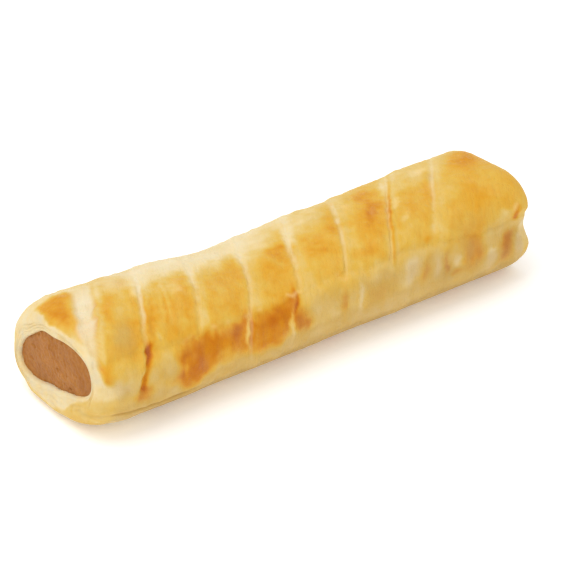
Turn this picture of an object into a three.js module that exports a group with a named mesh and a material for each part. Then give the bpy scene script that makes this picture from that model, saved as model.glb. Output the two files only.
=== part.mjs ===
// A long sausage roll, cut and baked: puff pastry wrapped round a bar of sausage meat, flat underneath,
// domed above, open at both cut ends, with slanting blade cuts across its top.
//
// Frame: millimetres. X runs along the roll from the near end (-X) to the far end (+X), -Y is the front,
// +Z is up. The origin is the middle of the flat base.
//
// Every surface is swept in polar form. A point has a place x along the roll and a turn round it,
// measured from +Y (the back) over +Z (the top), about an axis through the middle of the meat.
// The pastry is one closed ring of such loops: along the outside, over the far rim, back along the
// inside, and over the near rim. The meat is a capped bar of loops inside it.
import * as THREE from "three";

// ---- Driving dimensions ------------------------------------------------------------------------------

const LENGTH = 178.5; // end to end
const HALF_LENGTH = LENGTH / 2;
const AXIS_HEIGHT = 17; // the widest part of the section above the base
const BASE_PRESS = 2.0; // how far the section would bulge below the tray, which leaves the base flat

// The pastry's section at stations along the roll: [x, half width, height].
const STATIONS = [
  [-89, 27.0, 35.0],
  [-71, 26.5, 34.8],
  [-44, 25.9, 33.4],
  [-17, 25.2, 30.5],
  [19, 24.5, 33.2],
  [55, 24.3, 34.9],
  [77, 23.9, 36.1],
  [89, 23.4, 36.4],
];
const DOME_POWER = { near: 2.2, far: 2.75 }; // 2 is an ellipse, more is squarer
const FOOT_POWER = { near: 2.3, far: 2.05 };

// The bar of meat: it is widest at the near end, and settles to a smaller section further in.
const MEAT_POWER = 2.5;
const MEAT = {
  near: { halfWidth: 20.6, halfHeight: 8.7, across: 0.5, height: 18.2, tilt: -13 },
  far: { halfWidth: 17.8, halfHeight: 7.8, across: 0.8, height: 17.0, tilt: -4 },
};
const MEAT_SETTLES = { from: -78, to: -40, calmer: 0.6 }; // the waves are this much weaker in the smaller section
const MEAT_WAVES = [
  { height: 0.049, wavelength: 400, turns: 3, phase: -0.79 }, // heights as shares of the bar's radius
  { height: 0.029, wavelength: 500, turns: 4, phase: -1.34 },
  { height: 0.037, wavelength: 350, turns: 5, phase: -0.72 },
];
const MEAT_GAP = 0.3; // between the meat and the pastry
const MEAT_RECESS = 2.4; // the meat's edge behind the rim
const MEAT_CROWN = 0.7; // how far the middle of its end face stands out from its edge
const MEAT_ROUGH = 0.16; // the unevenness of that face

// The cut ends: the outer edge rounds over, and the face runs in to a small lip round the meat.
// inToe is the extra rounding where the front meets the base. A cut leans back from the foot to the top,
// and across to one side.
const RIM = {
  near: { along: 12, inTop: 10, inSide: 5, inFoot: 3.2, inToe: 3.8, leanTop: 2, leanFront: 2, leanBack: 0.8 },
  far: { along: 8, inTop: 2.5, inSide: 4.2, inFoot: 0.7, inToe: 0, leanTop: 0, leanFront: 0, leanBack: 3 },
};
const WALL_SHARE = 0.75; // the most of the wall that an end's rounding takes
const LIP = 1.2; // radius of the lip round the meat
const BORE_REACH = HALF_LENGTH - 7.4; // the bore and the meat are swept as far as this, then meet their ends
const LAYERS = { count: 3, height: 0.45 }; // the puffed layers that stand out on a cut face

// The blade cuts: nearly straight lines in plan, x = place + lean * y. They lean more towards the far end.
const LEAN = { near: 0.485, far: 0.75, from: 0, to: 65 };
const CUTS = [
  { place: -74.8, width: 2.8, depth: 1.1 },
  { place: -55.6, width: 1.3, depth: 0.6 },
  { place: -35.5, width: 1.8, depth: 0.4 },
  { place: -15.7, width: 1.2, depth: 0.6 },
  { place: 2.8, width: 1.3, depth: 0.5 },
  { place: 22.5, width: 1.2, depth: 0.5 },
  { place: 43.2, width: 1.2, depth: 0.85 },
  { place: 61.5, width: 1.4, depth: 0.4 },
];
const CUT_WANDER = { width: 0.4, run: 7 };
const PILLOW = { width: 5.5, depth: 0.4 }; // the pastry puffs up between the cuts
const CUT_REACH = { bottom: 19, full: 27 }; // height where a cut runs out, and where it is at full depth
const BACK_EASE = { from: 4, to: 19, share: 0.2 }; // the cuts are shallower towards the back shoulder

// The pastry's outer edge is sealed along the front: a crease at the shoulder, and a fold by the base.
// It gapes in a notch at the far end, where the edge also stands back a little.
const SHOULDER = { height: 26.5, width: 1.7, depth: 0.55 };
const FOLD = { height: [11, 8.4], start: -86, end: -56, out: -44, width: 1.1, depth: 0.6 };
const TUCK = { depth: 1, full: -81, out: -73 }; // below the fold, the skin stands back near the end
const NOTCH = { height: 19.9, width: 4.9, depth: 3.4, start: 64, full: 82, back: 2.0 };

// A short open crack in the front, near the near end: [x, z] of its two ends.
const CRACK = { foot: [-72.3, 16], head: [-65.5, 28.5], width: 1.3, depth: 1.1 };

// Puffing: upright pleats low on the sides, long soft lumps, and round blisters on the top and sides.
const PLEATS = { height: 0.36, period: 9.6, foot: 4, head: 25 };
const LUMPS = [
  { height: 0.14, wavelength: 150, turns: 5, phase: 0.6 },
  { height: 0.14, wavelength: 57, turns: -1, phase: 0.6 },
  { height: 0.21, wavelength: 42, turns: -3, phase: 1.9 },
  { height: 0.15, wavelength: 27, turns: 5, phase: 1.6 },
];
const BLISTERS = { count: 46, least: 2.4, most: 5.2, height: 0.13 };

// How finely each surface is cut up.
const TURNS = 44; // points round each loop
const OUTER_ROWS = 88; // loops along the outside
const CUT_PACKING = { extra: 1.6, width: 2.6 }; // how much closer they stand where a cut crosses
const SQUARE_RUN = 42; // they turn from leaning with the cuts to square over this length near each end
// Loops along the inside, and along the meat: closer where the bar settles.
const BORE_PLACES = [-BORE_REACH, -76, -68, -60, -52, -44, -34, -18, 2, 22, 42, 62, BORE_REACH];
const ROUND_STEPS = 7; // loops over a rim's outer edge
const LIP_STEPS = 2;
const MEAT_FACE = [0.3, 0.6, 0.85, 1]; // loops over an end face of the meat, as shares of its radius

// ---- Small helpers -----------------------------------------------------------------------------------

const lerp = (a, b, t) => a + (b - a) * t;
const clamp01 = (t) => Math.min(1, Math.max(0, t));
const ramp = (low, high, v) => {
  const t = clamp01((v - low) / (high - low));
  return t * t * (3 - 2 * t);
};
const bell = (distance, width) => Math.exp(-((distance / width) ** 2));
const fraction = (v) => v - Math.floor(v);

/** The value of one column of a station table at x, on a smooth curve through the stations. */
function alongStations(table, x, column) {
  const last = table.length - 1;
  let i = 0;
  while (i < last - 1 && x > table[i + 1][0]) i++;
  const slope = (k) => {
    const a = table[Math.max(0, k - 1)];
    const b = table[Math.min(last, k + 1)];
    return (b[column] - a[column]) / (b[0] - a[0]);
  };
  const [p, q] = [table[i], table[i + 1]];
  const span = q[0] - p[0];
  const t = clamp01((x - p[0]) / span);
  return (
    (2 * t ** 3 - 3 * t ** 2 + 1) * p[column] +
    (t ** 3 - 2 * t ** 2 + t) * span * slope(i) +
    (3 * t ** 2 - 2 * t ** 3) * q[column] +
    (t ** 3 - t ** 2) * span * slope(i + 1)
  );
}

/** The sum of waves that run along the roll and round it at once. */
const crossedWaves = (waves, x, turn) =>
  waves.reduce(
    (sum, { height, wavelength, turns, phase }) =>
      sum + height * Math.sin((2 * Math.PI * x) / wavelength + turns * turn + phase),
    0,
  );

/** 0 at the near end, 1 at the far end. */
const share = (x) => clamp01((x + HALF_LENGTH) / LENGTH);

/** The polar radius of a rounded box of these half sizes, towards this turn. */
const roundedBox = (across, up, power, turn) =>
  (Math.abs(Math.cos(turn) / across) ** power + Math.abs(Math.sin(turn) / up) ** power) ** (-1 / power);

// ---- The pastry's outside ----------------------------------------------------------------------------

/** The smooth outside of the pastry, before any relief. */
function shellRadius(x, turn) {
  const upward = ramp(-0.4, 0.4, Math.sin(turn));
  const reach = lerp(AXIS_HEIGHT + BASE_PRESS, alongStations(STATIONS, x, 2) - AXIS_HEIGHT, upward);
  const foot = lerp(FOOT_POWER.near, FOOT_POWER.far, share(x));
  const power = lerp(foot, lerp(DOME_POWER.near, DOME_POWER.far, share(x)), upward);
  return roundedBox(alongStations(STATIONS, x, 1), reach, power, turn);
}

/** How much a cut at this place leans. */
const leanAt = (place) => lerp(LEAN.near, LEAN.far, ramp(LEAN.from, LEAN.to, place));

/** Where the cuts cross: how deep they bite at this point, and the wide hollow along them. */
function cutRelief(x, y, z) {
  const ease = lerp(1, BACK_EASE.share, ramp(BACK_EASE.from, BACK_EASE.to, y));
  const strength = ease * ramp(CUT_REACH.bottom, CUT_REACH.full, z);
  return CUTS.reduce((sum, { place, width, depth }) => {
    const lean = leanAt(place);
    const wander = CUT_WANDER.width * Math.sin(y / CUT_WANDER.run + place);
    const away = (x - place - lean * y - wander) / Math.hypot(1, lean);
    return sum - strength * (depth * bell(away, width) + PILLOW.depth * bell(away, PILLOW.width));
  }, 0);
}

/** The sealed edge of the sheet: the crease at the front shoulder and the fold by the base. */
function seamRelief(x, y, z) {
  if (y > 0) return 0;
  const shoulder = SHOULDER.height + 1.1 * Math.sin(x / 17) + 0.5 * Math.sin(x / 6.3 + 1);
  const notchDepth = NOTCH.depth * ramp(NOTCH.start, NOTCH.full, x);
  const foldDepth = FOLD.depth * (1 - ramp(FOLD.end, FOLD.out, x));
  const foldHeight = lerp(...FOLD.height, ramp(FOLD.start, FOLD.end, x));
  const tuck = TUCK.depth * (1 - ramp(TUCK.full, TUCK.out, x)) * (1 - ramp(-2, 0.4, z - foldHeight));
  return (
    -SHOULDER.depth * bell(z - shoulder, SHOULDER.width) -
    foldDepth * bell(z - foldHeight, FOLD.width) -
    tuck -
    notchDepth * bell(z - NOTCH.height, NOTCH.width)
  );
}

/** The open crack in the front. */
function crackRelief(x, y, z) {
  const [[x0, z0], [x1, z1]] = [CRACK.foot, CRACK.head];
  if (y > 0) return 0;
  const part = clamp01((z - z0) / (z1 - z0));
  const away = Math.hypot(x - lerp(x0, x1, part ** 1.5), z - lerp(z0, z1, part));
  return -CRACK.depth * bell(away, CRACK.width);
}

/** Upright pleats, low on the sides. */
function pleatRelief(x, turn, z) {
  const strength = ramp(PLEATS.foot, PLEATS.foot + 4, z) * (1 - ramp(PLEATS.head - 5, PLEATS.head, z));
  const uneven = 1.7 * Math.sin(x / 11 + 3 * Math.cos(turn)) + 1.1 * Math.sin(x / 4.7 + turn);
  const swell = 0.55 + 0.45 * Math.sin(x / 14.5 - 0.9 + 2 * Math.cos(turn));
  return PLEATS.height * strength * swell * Math.sin((2 * Math.PI * x) / PLEATS.period + uneven);
}

/** Round blisters, spread evenly by the golden ratio's two-dimensional sequence. */
const blisters = Array.from({ length: BLISTERS.count }, (_, i) => {
  const size = fraction(i * 0.6180340 + 0.31);
  return {
    x: (fraction(i * 0.7548777 + 0.5) - 0.5) * (LENGTH - 16),
    turn: (fraction(i * 0.5698403 + 0.2) * 1.34 - 0.17) * Math.PI,
    radius: lerp(BLISTERS.least, BLISTERS.most, size * size),
  };
});
function blisterRelief(x, turn, radiusHere) {
  return blisters.reduce((sum, spot) => {
    const along = x - spot.x;
    if (Math.abs(along) > 2.5 * spot.radius) return sum;
    const round = Math.atan2(Math.sin(turn - spot.turn), Math.cos(turn - spot.turn)) * radiusHere;
    return sum + BLISTERS.height * spot.radius * bell(Math.hypot(along, round), 0.75 * spot.radius);
  }, 0);
}

/** The polar radius of the pastry's outside, with its relief. */
function outerRadius(x, turn) {
  const smooth = shellRadius(x, turn);
  const y = smooth * Math.cos(turn);
  const z = AXIS_HEIGHT + smooth * Math.sin(turn);
  const offBase = ramp(-0.75, -0.35, Math.sin(turn));
  return (
    smooth +
    cutRelief(x, y, z) +
    seamRelief(x, y, z) +
    crackRelief(x, y, z) +
    pleatRelief(x, turn, z) +
    offBase * (crossedWaves(LUMPS, x, turn) + blisterRelief(x, turn, smooth))
  );
}

// ---- Sections: [y, z] of a point at this place and turn -----------------------------------------------

function outerPoint(x, turn) {
  const radius = outerRadius(x, turn);
  return [radius * Math.cos(turn), AXIS_HEIGHT + radius * Math.sin(turn)];
}

/** The bore round the meat, or a copy of it this much larger. */
function borePoint(x, turn, larger = 0, scale = 1) {
  const settled = ramp(MEAT_SETTLES.from, MEAT_SETTLES.to, x);
  const part = (name) => lerp(MEAT.near[name], MEAT.far[name], settled);
  const tilt = THREE.MathUtils.degToRad(part("tilt"));
  const uneven = 1 + (1 - MEAT_SETTLES.calmer * settled) * crossedWaves(MEAT_WAVES, x, turn);
  const plain = roundedBox(part("halfWidth"), part("halfHeight"), MEAT_POWER, turn - tilt);
  const radius = (plain * uneven + larger) * scale;
  return [part("across") + radius * Math.cos(turn), part("height") + radius * Math.sin(turn)];
}

// ---- From polar form to meshes -----------------------------------------------------------------------

/** A whole point from its place and its section. Nothing goes below the base. */
const at = (x, [y, z]) => [x, y, Math.max(0, z)];
const between = (p, q, t) => [lerp(p[0], q[0], t), lerp(p[1], q[1], t)];

const turnAt = (j) => (2 * Math.PI * j) / TURNS;
const loop = (pointAt) => Array.from({ length: TURNS }, (_, j) => pointAt(turnAt(j)));

/** Places along the outside, packed closer where the cuts cross. */
function outerStations() {
  const from = -HALF_LENGTH + RIM.near.along;
  const to = HALF_LENGTH - RIM.far.along;
  const fine = 900;
  const running = [0];
  for (let k = 0; k < fine; k++) {
    const x = lerp(from, to, (k + 0.5) / fine);
    const near = CUTS.reduce((sum, cut) => sum + bell(x - cut.place, CUT_PACKING.width), 0);
    const packing = 1 + CUT_PACKING.extra * near;
    running.push(running[k] + packing);
  }
  return Array.from({ length: OUTER_ROWS }, (_, i) => {
    const wanted = (running[fine] * i) / (OUTER_ROWS - 1);
    const k = Math.min(fine - 1, Math.max(0, running.findIndex((r) => r >= wanted) - 1));
    const t = (wanted - running[k]) / (running[k + 1] - running[k]);
    return lerp(from, to, (k + t) / fine);
  });
}

/** A loop along the outside. It leans with the cuts, and stands square near the ends. */
function outerLoop(station) {
  const fromEnd = HALF_LENGTH - RIM.far.along - Math.abs(station);
  const slant = leanAt(station) * ramp(0, SQUARE_RUN, fromEnd);
  return loop((turn) => {
    const x = station + slant * shellRadius(0, turn) * Math.cos(turn);
    return at(x, outerPoint(x, turn));
  });
}

/** How far the cut at this end has leaned back at a point of the section. */
function cutLean(side, [y, z]) {
  const rim = side < 0 ? RIM.near : RIM.far;
  const up = clamp01(z / STATIONS[0][2]);
  const across = clamp01(0.5 + y / (2 * STATIONS[0][1]));
  const gape = side > 0 ? NOTCH.back * (1 - across) * bell(z - NOTCH.height, NOTCH.width) : 0;
  return (rim.leanTop + rim.leanFront * (1 - across)) * up + rim.leanBack * across + gape;
}

/** How far in the rounded edge of a cut reaches, towards this turn. */
function rounding(rim, turn) {
  const [across, up] = [Math.cos(turn), Math.sin(turn)];
  const toe = up < 0 && across < 0 ? rim.inToe * 4 * across ** 2 * up ** 2 : 0;
  return lerp(rim.inSide, up > 0 ? rim.inTop : rim.inFoot, Math.abs(up)) + toe;
}

/** The loops of one cut end, from the outer edge in to the bore: side is -1 (near) or 1 (far). */
function rimLoops(side) {
  const rim = side < 0 ? RIM.near : RIM.far;
  const start = side * (HALF_LENGTH - rim.along);
  const lipEdge = (turn) => borePoint(start, turn, LIP);
  const inward = (turn) => {
    const [p, q] = [outerPoint(start, turn), lipEdge(turn)];
    const wall = Math.hypot(p[0] - q[0], p[1] - q[1]);
    return Math.min(WALL_SHARE, rounding(rim, turn) / wall);
  };
  const rimX = side * HALF_LENGTH;
  const faceAt = (turn, part, x = rimX) => between(outerPoint(x, turn), lipEdge(turn), part);
  return [
    ...edgeLoops(side, rim.along, inward, faceAt),
    ...faceLoops(side, inward, faceAt),
    ...lipLoops(side, start),
  ];
}

/** The outer edge of a cut end, which rounds over. */
function edgeLoops(side, along, inward, faceAt) {
  return Array.from({ length: ROUND_STEPS }, (_, i) => {
    const bend = ((i + 1) / ROUND_STEPS) * (Math.PI / 2);
    const x = side * (HALF_LENGTH - along * (1 - Math.sin(bend)));
    return loop((turn) => {
      const section = faceAt(turn, inward(turn) * (1 - Math.cos(bend)), x);
      const back = along + (cutLean(side, section) - along) * Math.sin(bend);
      return at(side * (HALF_LENGTH - back), section);
    });
  });
}

/** The cut face of the pastry, with its puffed layers. */
function faceLoops(side, inward, faceAt) {
  const steps = 2 * LAYERS.count;
  return Array.from({ length: steps }, (_, i) => {
    const ridge = i % 2 ? 1 : -1;
    return loop((turn) => {
      const section = faceAt(turn, lerp(inward(turn), 1, (i + 1) / steps));
      const broken = 0.6 + 0.4 * Math.sin(5 * turn + 2.3 * i + side);
      const back = cutLean(side, section) + 0.5 * LAYERS.height * (1 - ridge * broken);
      return at(side * (HALF_LENGTH - back), section);
    });
  });
}

/** The lip that turns in from the cut face to the bore. */
function lipLoops(side, start) {
  return Array.from({ length: LIP_STEPS }, (_, i) => {
    const bend = ((i + 1) / LIP_STEPS) * (Math.PI / 2);
    return loop((turn) => {
      const section = borePoint(start, turn, LIP * (1 - Math.sin(bend)));
      const back = cutLean(side, section) + 0.5 * LAYERS.height + LIP * (1 - Math.cos(bend));
      return at(side * (HALF_LENGTH - back), section);
    });
  });
}

/** Loops along the bore, from the far end back to the near end. */
function boreLoops() {
  return [...BORE_PLACES].reverse().map((x) => loop((turn) => at(x, borePoint(x, turn))));
}

/** Loops of the meat: out over its near face, along its side, and in over its far face. */
function meatLoops() {
  const face = (side) => MEAT_FACE.map((part) => loop((turn) => meatFacePoint(side, turn, part)));
  const sides = BORE_PLACES.map((x) => loop((turn) => at(x, borePoint(x, turn, -MEAT_GAP))));
  return [...face(-1), ...sides, ...face(1).reverse()];
}

/** A point on an end face of the meat, this part of the way from its middle to its edge. */
function meatFacePoint(side, turn, part) {
  const start = side * (HALF_LENGTH - (side < 0 ? RIM.near : RIM.far).along);
  const section = borePoint(start, turn, -MEAT_GAP, part);
  const uneven = MEAT_ROUGH * Math.sin(3 * turn + 9 * part) * part;
  const back = cutLean(side, section) / 2 + MEAT_RECESS - MEAT_CROWN * (1 - part ** 3) - uneven;
  return at(side * (HALF_LENGTH - back), section);
}

/** A mesh geometry from points and triangles. */
function geometryOf(points, triangles) {
  const geometry = new THREE.BufferGeometry();
  geometry.setAttribute("position", new THREE.Float32BufferAttribute(points.flat(), 3));
  geometry.setIndex(triangles.flat());
  geometry.computeVertexNormals();
  return geometry;
}

/** The two triangles of each cell between one loop and the next, facing out. */
function band(first, second) {
  return Array.from({ length: TURNS }, (_, j) => {
    const next = (j + 1) % TURNS;
    const [a, b] = [first * TURNS + j, first * TURNS + next];
    const [d, c] = [second * TURNS + j, second * TURNS + next];
    return [
      [a, b, c],
      [a, c, d],
    ];
  }).flat();
}

/** Loops joined one to the next, and the last to the first. */
function ringGeometry(loops) {
  const triangles = loops.flatMap((_, i) => band(i, (i + 1) % loops.length));
  return geometryOf(loops.flat(), triangles);
}

/** Loops joined one to the next, with a point to close each end. */
function cappedGeometry(loops, firstTip, lastTip) {
  const points = [...loops.flat(), firstTip, lastTip];
  const [first, last] = [points.length - 2, points.length - 1];
  const start = (loops.length - 1) * TURNS;
  const triangles = loops.slice(1).flatMap((_, i) => band(i, i + 1));
  for (let j = 0; j < TURNS; j++) {
    const next = (j + 1) % TURNS;
    triangles.push([first, next, j], [start + j, start + next, last]);
  }
  return geometryOf(points, triangles);
}

// ---- The sausage roll --------------------------------------------------------------------------------

const bakedPastry = new THREE.MeshStandardMaterial({ color: "#dcae5c", roughness: 0.5, metalness: 0 });
const cookedMeat = new THREE.MeshStandardMaterial({ color: "#b27b46", roughness: 0.6, metalness: 0 });

const pastry = new THREE.Mesh(
  ringGeometry([
    ...outerStations().map(outerLoop),
    ...rimLoops(1),
    ...boreLoops(),
    ...rimLoops(-1).reverse(),
  ]),
  bakedPastry,
);
pastry.name = "pastry";

const filling = new THREE.Mesh(
  cappedGeometry(meatLoops(), meatFacePoint(-1, 0, 0), meatFacePoint(1, 0, 0)),
  cookedMeat,
);
filling.name = "filling";

const sausageRoll = new THREE.Group();
sausageRoll.add(pastry, filling);

export default sausageRoll;
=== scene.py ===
# %% [markdown]
# # A long sausage roll
# A sausage roll is two things: a bar of sausage meat, and a sheet of puff pastry wrapped round it. The
# roll is brushed with egg, slashed across the top with a blade, baked, and cut to length. What makes it
# look baked is all on its skin: a golden glaze that is darkest on the shoulders, pale bands where the
# blade opened the layers, puffed lumps and blisters, and a pale, pleated foot.
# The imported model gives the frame: both pieces at their real size. This lesson keeps that form and works
# out a much finer surface over it, in millimetres, and then paints it.

import bpy
import numpy as np
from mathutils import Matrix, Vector


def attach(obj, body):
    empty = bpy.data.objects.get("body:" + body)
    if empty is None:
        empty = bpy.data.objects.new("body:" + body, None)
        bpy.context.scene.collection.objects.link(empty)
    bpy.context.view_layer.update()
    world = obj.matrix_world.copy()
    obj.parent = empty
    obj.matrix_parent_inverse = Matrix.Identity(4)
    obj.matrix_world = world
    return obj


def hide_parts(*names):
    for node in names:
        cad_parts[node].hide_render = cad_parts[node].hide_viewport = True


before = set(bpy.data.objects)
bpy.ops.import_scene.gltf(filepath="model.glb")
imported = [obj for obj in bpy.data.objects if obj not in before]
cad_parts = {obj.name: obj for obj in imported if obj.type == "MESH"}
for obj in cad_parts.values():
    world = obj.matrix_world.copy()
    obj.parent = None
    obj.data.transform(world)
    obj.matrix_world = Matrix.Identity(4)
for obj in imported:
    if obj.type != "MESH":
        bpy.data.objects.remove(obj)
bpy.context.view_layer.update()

MM = 0.001

# %% [markdown]
# ## Helpers
# Two curves make nearly all of the relief: a smooth step and a bell. The rest is noise, which could come
# from a texture, but here it has to shape the mesh as well as colour it. So it is worked out with numpy:
# random numbers on the corners of a lattice of cubes, blended inside each cube.

# %% Steps and bells
def lerp(a, b, t):
    """a at t = 0, b at t = 1, and a straight line between them."""
    return a + (b - a) * t


def ramp(low, high, v):
    """0 below low, 1 above high, and 3t^2 - 2t^3 between them."""
    t = np.clip((v - low) / (high - low), 0, 1)
    return t * t * (3 - 2 * t)


def bell(distance, width):
    """1 at no distance, falling away as exp(-(distance / width)^2)."""
    return np.exp(-((distance / width) ** 2))


print("a bell at its own width:", round(float(bell(1, 1)), 2))

# %% Noise
LATTICE_SIDE = 64
LATTICE_SEED = 41
LATTICE = np.random.default_rng(LATTICE_SEED).uniform(-1, 1, (LATTICE_SIDE,) * 3)
OCTAVE_SHIFT = (17.3, -9.1, 5.7)  # each octave reads another part of the lattice


def noise(a, b, c=0.0, size=1.0):
    """Smooth hills between -1 and 1: the lattice's numbers at the 8 corners of the cube that holds
    (a, b, c) / size, each weighted by how near it is along every axis."""
    place = np.stack(np.broadcast_arrays(np.asarray(a, float), b, c)) / size
    cell = np.floor(place).astype(int)
    part = ramp(0, 1, place - cell)
    total = 0
    for corner in np.ndindex(2, 2, 2):
        weight = np.prod([part[n] if corner[n] else 1 - part[n] for n in range(3)], axis=0)
        i, j, k = ((cell[n] + corner[n]) % LATTICE_SIDE for n in range(3))
        total = total + weight * LATTICE[i, j, k]
    return total


def hills(a, b, c=0.0, size=1.0, octaves=3):
    """Noise with finer noise on it: each octave is half as large and half as strong as the last."""
    da, db, dc = OCTAVE_SHIFT
    return sum(noise(a + da * n, b + db * n, c + dc * n, size / 2**n) / 2**n for n in range(octaves))


print("numbers in the lattice:", LATTICE.size)

# %% [markdown]
# ## The section
# Cut across, the roll is a flat-based dome. It could be modelled by pushing a box about, but a formula
# keeps it the same shape as the solids: a rounded box in polar form, round an axis through the middle of
# the meat. The turn starts at the back (+Y), rises over the top (+Z) and comes down the front (-Y).

# %% Driving sizes of the pastry, in millimetres
LENGTH = 178.5
HALF_LENGTH = LENGTH / 2
AXIS_HEIGHT = 17.0
BASE_PRESS = 2.0  # how far the section would bulge below the tray
STATIONS = np.array([  # place along the roll, half width, height
    (-89, 27.0, 35.0), (-71, 26.5, 34.8), (-44, 25.9, 33.4), (-17, 25.2, 30.5),
    (19, 24.5, 33.2), (55, 24.3, 34.9), (77, 23.9, 36.1), (89, 23.4, 36.4),
])
DOME_POWER = (2.2, 2.75)  # near end, far end: 2 is an ellipse, more is squarer
FOOT_POWER = (2.3, 2.05)
AXIS_BLEND = 0.4  # dome and foot blend where the sine of the turn is within this of 0
FULL_TURN = 2 * np.pi
BASE_TURN = 1.5 * np.pi  # straight down, to the middle of the base
greatest_width, greatest_height = 2 * STATIONS[:, 1].max(), STATIONS[:, 2].max()
print("the roll:", LENGTH, "by", greatest_width, "by", greatest_height, "mm, before its ends and relief")

# %% The smooth shell
def along_stations(x, column):
    """The station table's value at x, on cubic curves whose slope at a station is that between its
    neighbours."""
    places, values = STATIONS[:, 0], STATIONS[:, column]
    after = np.minimum(np.arange(len(places)) + 1, len(places) - 1)
    before = np.maximum(np.arange(len(places)) - 1, 0)
    slopes = (values[after] - values[before]) / (places[after] - places[before])
    i = np.clip(np.searchsorted(places, x) - 1, 0, len(places) - 2)
    span = places[i + 1] - places[i]
    t = np.clip((x - places[i]) / span, 0, 1)
    return (
        (2 * t**3 - 3 * t**2 + 1) * values[i] + (t**3 - 2 * t**2 + t) * span * slopes[i]
        + (3 * t**2 - 2 * t**3) * values[i + 1] + (t**3 - t**2) * span * slopes[i + 1]
    )


def share(x):
    """0 at the near end, 1 at the far end."""
    return np.clip((x + HALF_LENGTH) / LENGTH, 0, 1)


def rounded_box(across, up, power, turn):
    """Polar radius: (|cos / across|^power + |sin / up|^power)^(-1 / power)."""
    return (np.abs(np.cos(turn) / across) ** power + np.abs(np.sin(turn) / up) ** power) ** (-1 / power)


def shell_radius(x, turn):
    """The smooth outside: one rounded box above the axis, another below it, blended round the axis."""
    upward = ramp(-AXIS_BLEND, AXIS_BLEND, np.sin(turn))
    reach = lerp(AXIS_HEIGHT + BASE_PRESS, along_stations(x, 2) - AXIS_HEIGHT, upward)
    power = lerp(lerp(*FOOT_POWER, share(x)), lerp(*DOME_POWER, share(x)), upward)
    return rounded_box(along_stations(x, 1), reach, power, turn)


print("half width at the middle:", round(float(shell_radius(0.0, 0.0)), 1), "mm")

# %% [markdown]
# ## How far round
# Painting needs a second coordinate beside the place along the roll: the girth, which is the distance in
# millimetres round the skin, from the middle of the base, up the front, over the top and down the back.
# It is summed once on a coarse grid, and then looked up.

# %% Girth
GIRTH_PLACES = np.linspace(-HALF_LENGTH, HALF_LENGTH, 61)
GIRTH_TURNS = np.linspace(BASE_TURN, BASE_TURN - FULL_TURN, 721)
IN_TABLE = 0.99999  # the greatest share of a table's length that is still inside its last cell


def shell_section(x, turn):
    """y and z of the smooth shell, with nothing below the base."""
    radius = shell_radius(x, turn)
    return radius * np.cos(turn), np.maximum(0, AXIS_HEIGHT + radius * np.sin(turn))


section_y, section_z = shell_section(GIRTH_PLACES[:, None], GIRTH_TURNS[None, :])
steps = np.hypot(np.diff(section_y, axis=1), np.diff(section_z, axis=1))
GIRTH_TABLE = np.concatenate([np.zeros((len(GIRTH_PLACES), 1)), np.cumsum(steps, axis=1)], axis=1)
MIDDLE = len(GIRTH_PLACES) // 2
print("girth at the middle of the roll:", round(GIRTH_TABLE[MIDDLE, -1], 1), "mm")


def girth(x, turn):
    """The table's value at x and turn, on straight lines between its entries both ways."""
    turn = np.where(turn > BASE_TURN, turn - FULL_TURN, turn)
    x, turn = np.broadcast_arrays(x, turn)
    i = np.clip((x + HALF_LENGTH) / LENGTH, 0, IN_TABLE) * (len(GIRTH_PLACES) - 1)
    j = np.clip((BASE_TURN - turn) / FULL_TURN, 0, IN_TABLE) * (len(GIRTH_TURNS) - 1)
    i0, j0 = i.astype(int), j.astype(int)
    nearer = lerp(GIRTH_TABLE[i0, j0], GIRTH_TABLE[i0, j0 + 1], j - j0)
    farther = lerp(GIRTH_TABLE[i0 + 1, j0], GIRTH_TABLE[i0 + 1, j0 + 1], j - j0)
    return lerp(nearer, farther, i - i0)


# %% [markdown]
# ## The blade cuts
# The baker slashes the top with a blade, all at nearly the same slant. In the oven each slash opens into a
# shallow trough with pale layers in it, and the edge of the top sheet on its far side lifts and casts a
# thin dark line. A groove could be cut with booleans. Here it is a profile across the distance from a
# line, so that it can fade out down the sides and wander as a hand-made cut does.

# %% The cuts
LEAN = {"near": 0.485, "far": 0.75, "start": 0, "end": 65}  # slant in plan, more towards the far end
# crease is how dark the painted shadow along a cut's far edge is
CUTS = [  # place at y = 0, how it bows, half width, depth, how pale inside, how dark its far edge, its foot
    {"place": -75.3, "bow": 0.0, "open": 3.0, "depth": 1.0, "pale": 1.0, "crease": 0.1, "foot": 23},
    {"place": -55.6, "bow": 0.5, "open": 0.7, "depth": 0.5, "pale": 0.6, "crease": 0.06, "foot": 23},
    {"place": -35.5, "bow": 0.4, "open": 1.0, "depth": 0.35, "pale": 0.3, "crease": 0.0, "foot": 24},
    {"place": -16.2, "bow": 1.0, "open": 0.8, "depth": 0.45, "pale": 0.55, "crease": 0.0, "foot": 10},
    {"place": 2.9, "bow": -0.4, "open": 0.9, "depth": 0.4, "pale": 0.55, "crease": 0.0, "foot": 24},
    {"place": 22.3, "bow": 0.5, "open": 0.75, "depth": 0.4, "pale": 0.55, "crease": 0.0, "foot": 23},
    {"place": 43.2, "bow": 0.0, "open": 0.4, "depth": 0.55, "pale": 0.3, "crease": 0.26, "foot": 23},
    {"place": 61.8, "bow": 1.0, "open": 0.6, "depth": 0.4, "pale": 0.35, "crease": 0.0, "foot": 26},
]
WANDER = {"sway": 0.4, "run": 7, "jitter": 0.4, "size": 2.4}
BOW = {"middle": -5, "reach": 14, "least": -2}
CUT_TAPER = 0.014  # a cut is this share wider for each millimetre towards the back
CUT_UNEVEN = {"share": 0.35, "size": 2.6}
FOOT_RUN = 5  # a cut fades in over this much height above its foot
BACK_FOOT = 22  # the height of every cut's foot on the back
BACK_EASE = {"start": 4, "end": 19, "share": 0.2}
RELIEF_EASE = {"start": -3, "end": 12, "share": 0.35}  # the cuts are shallower where the roll turns over


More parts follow.
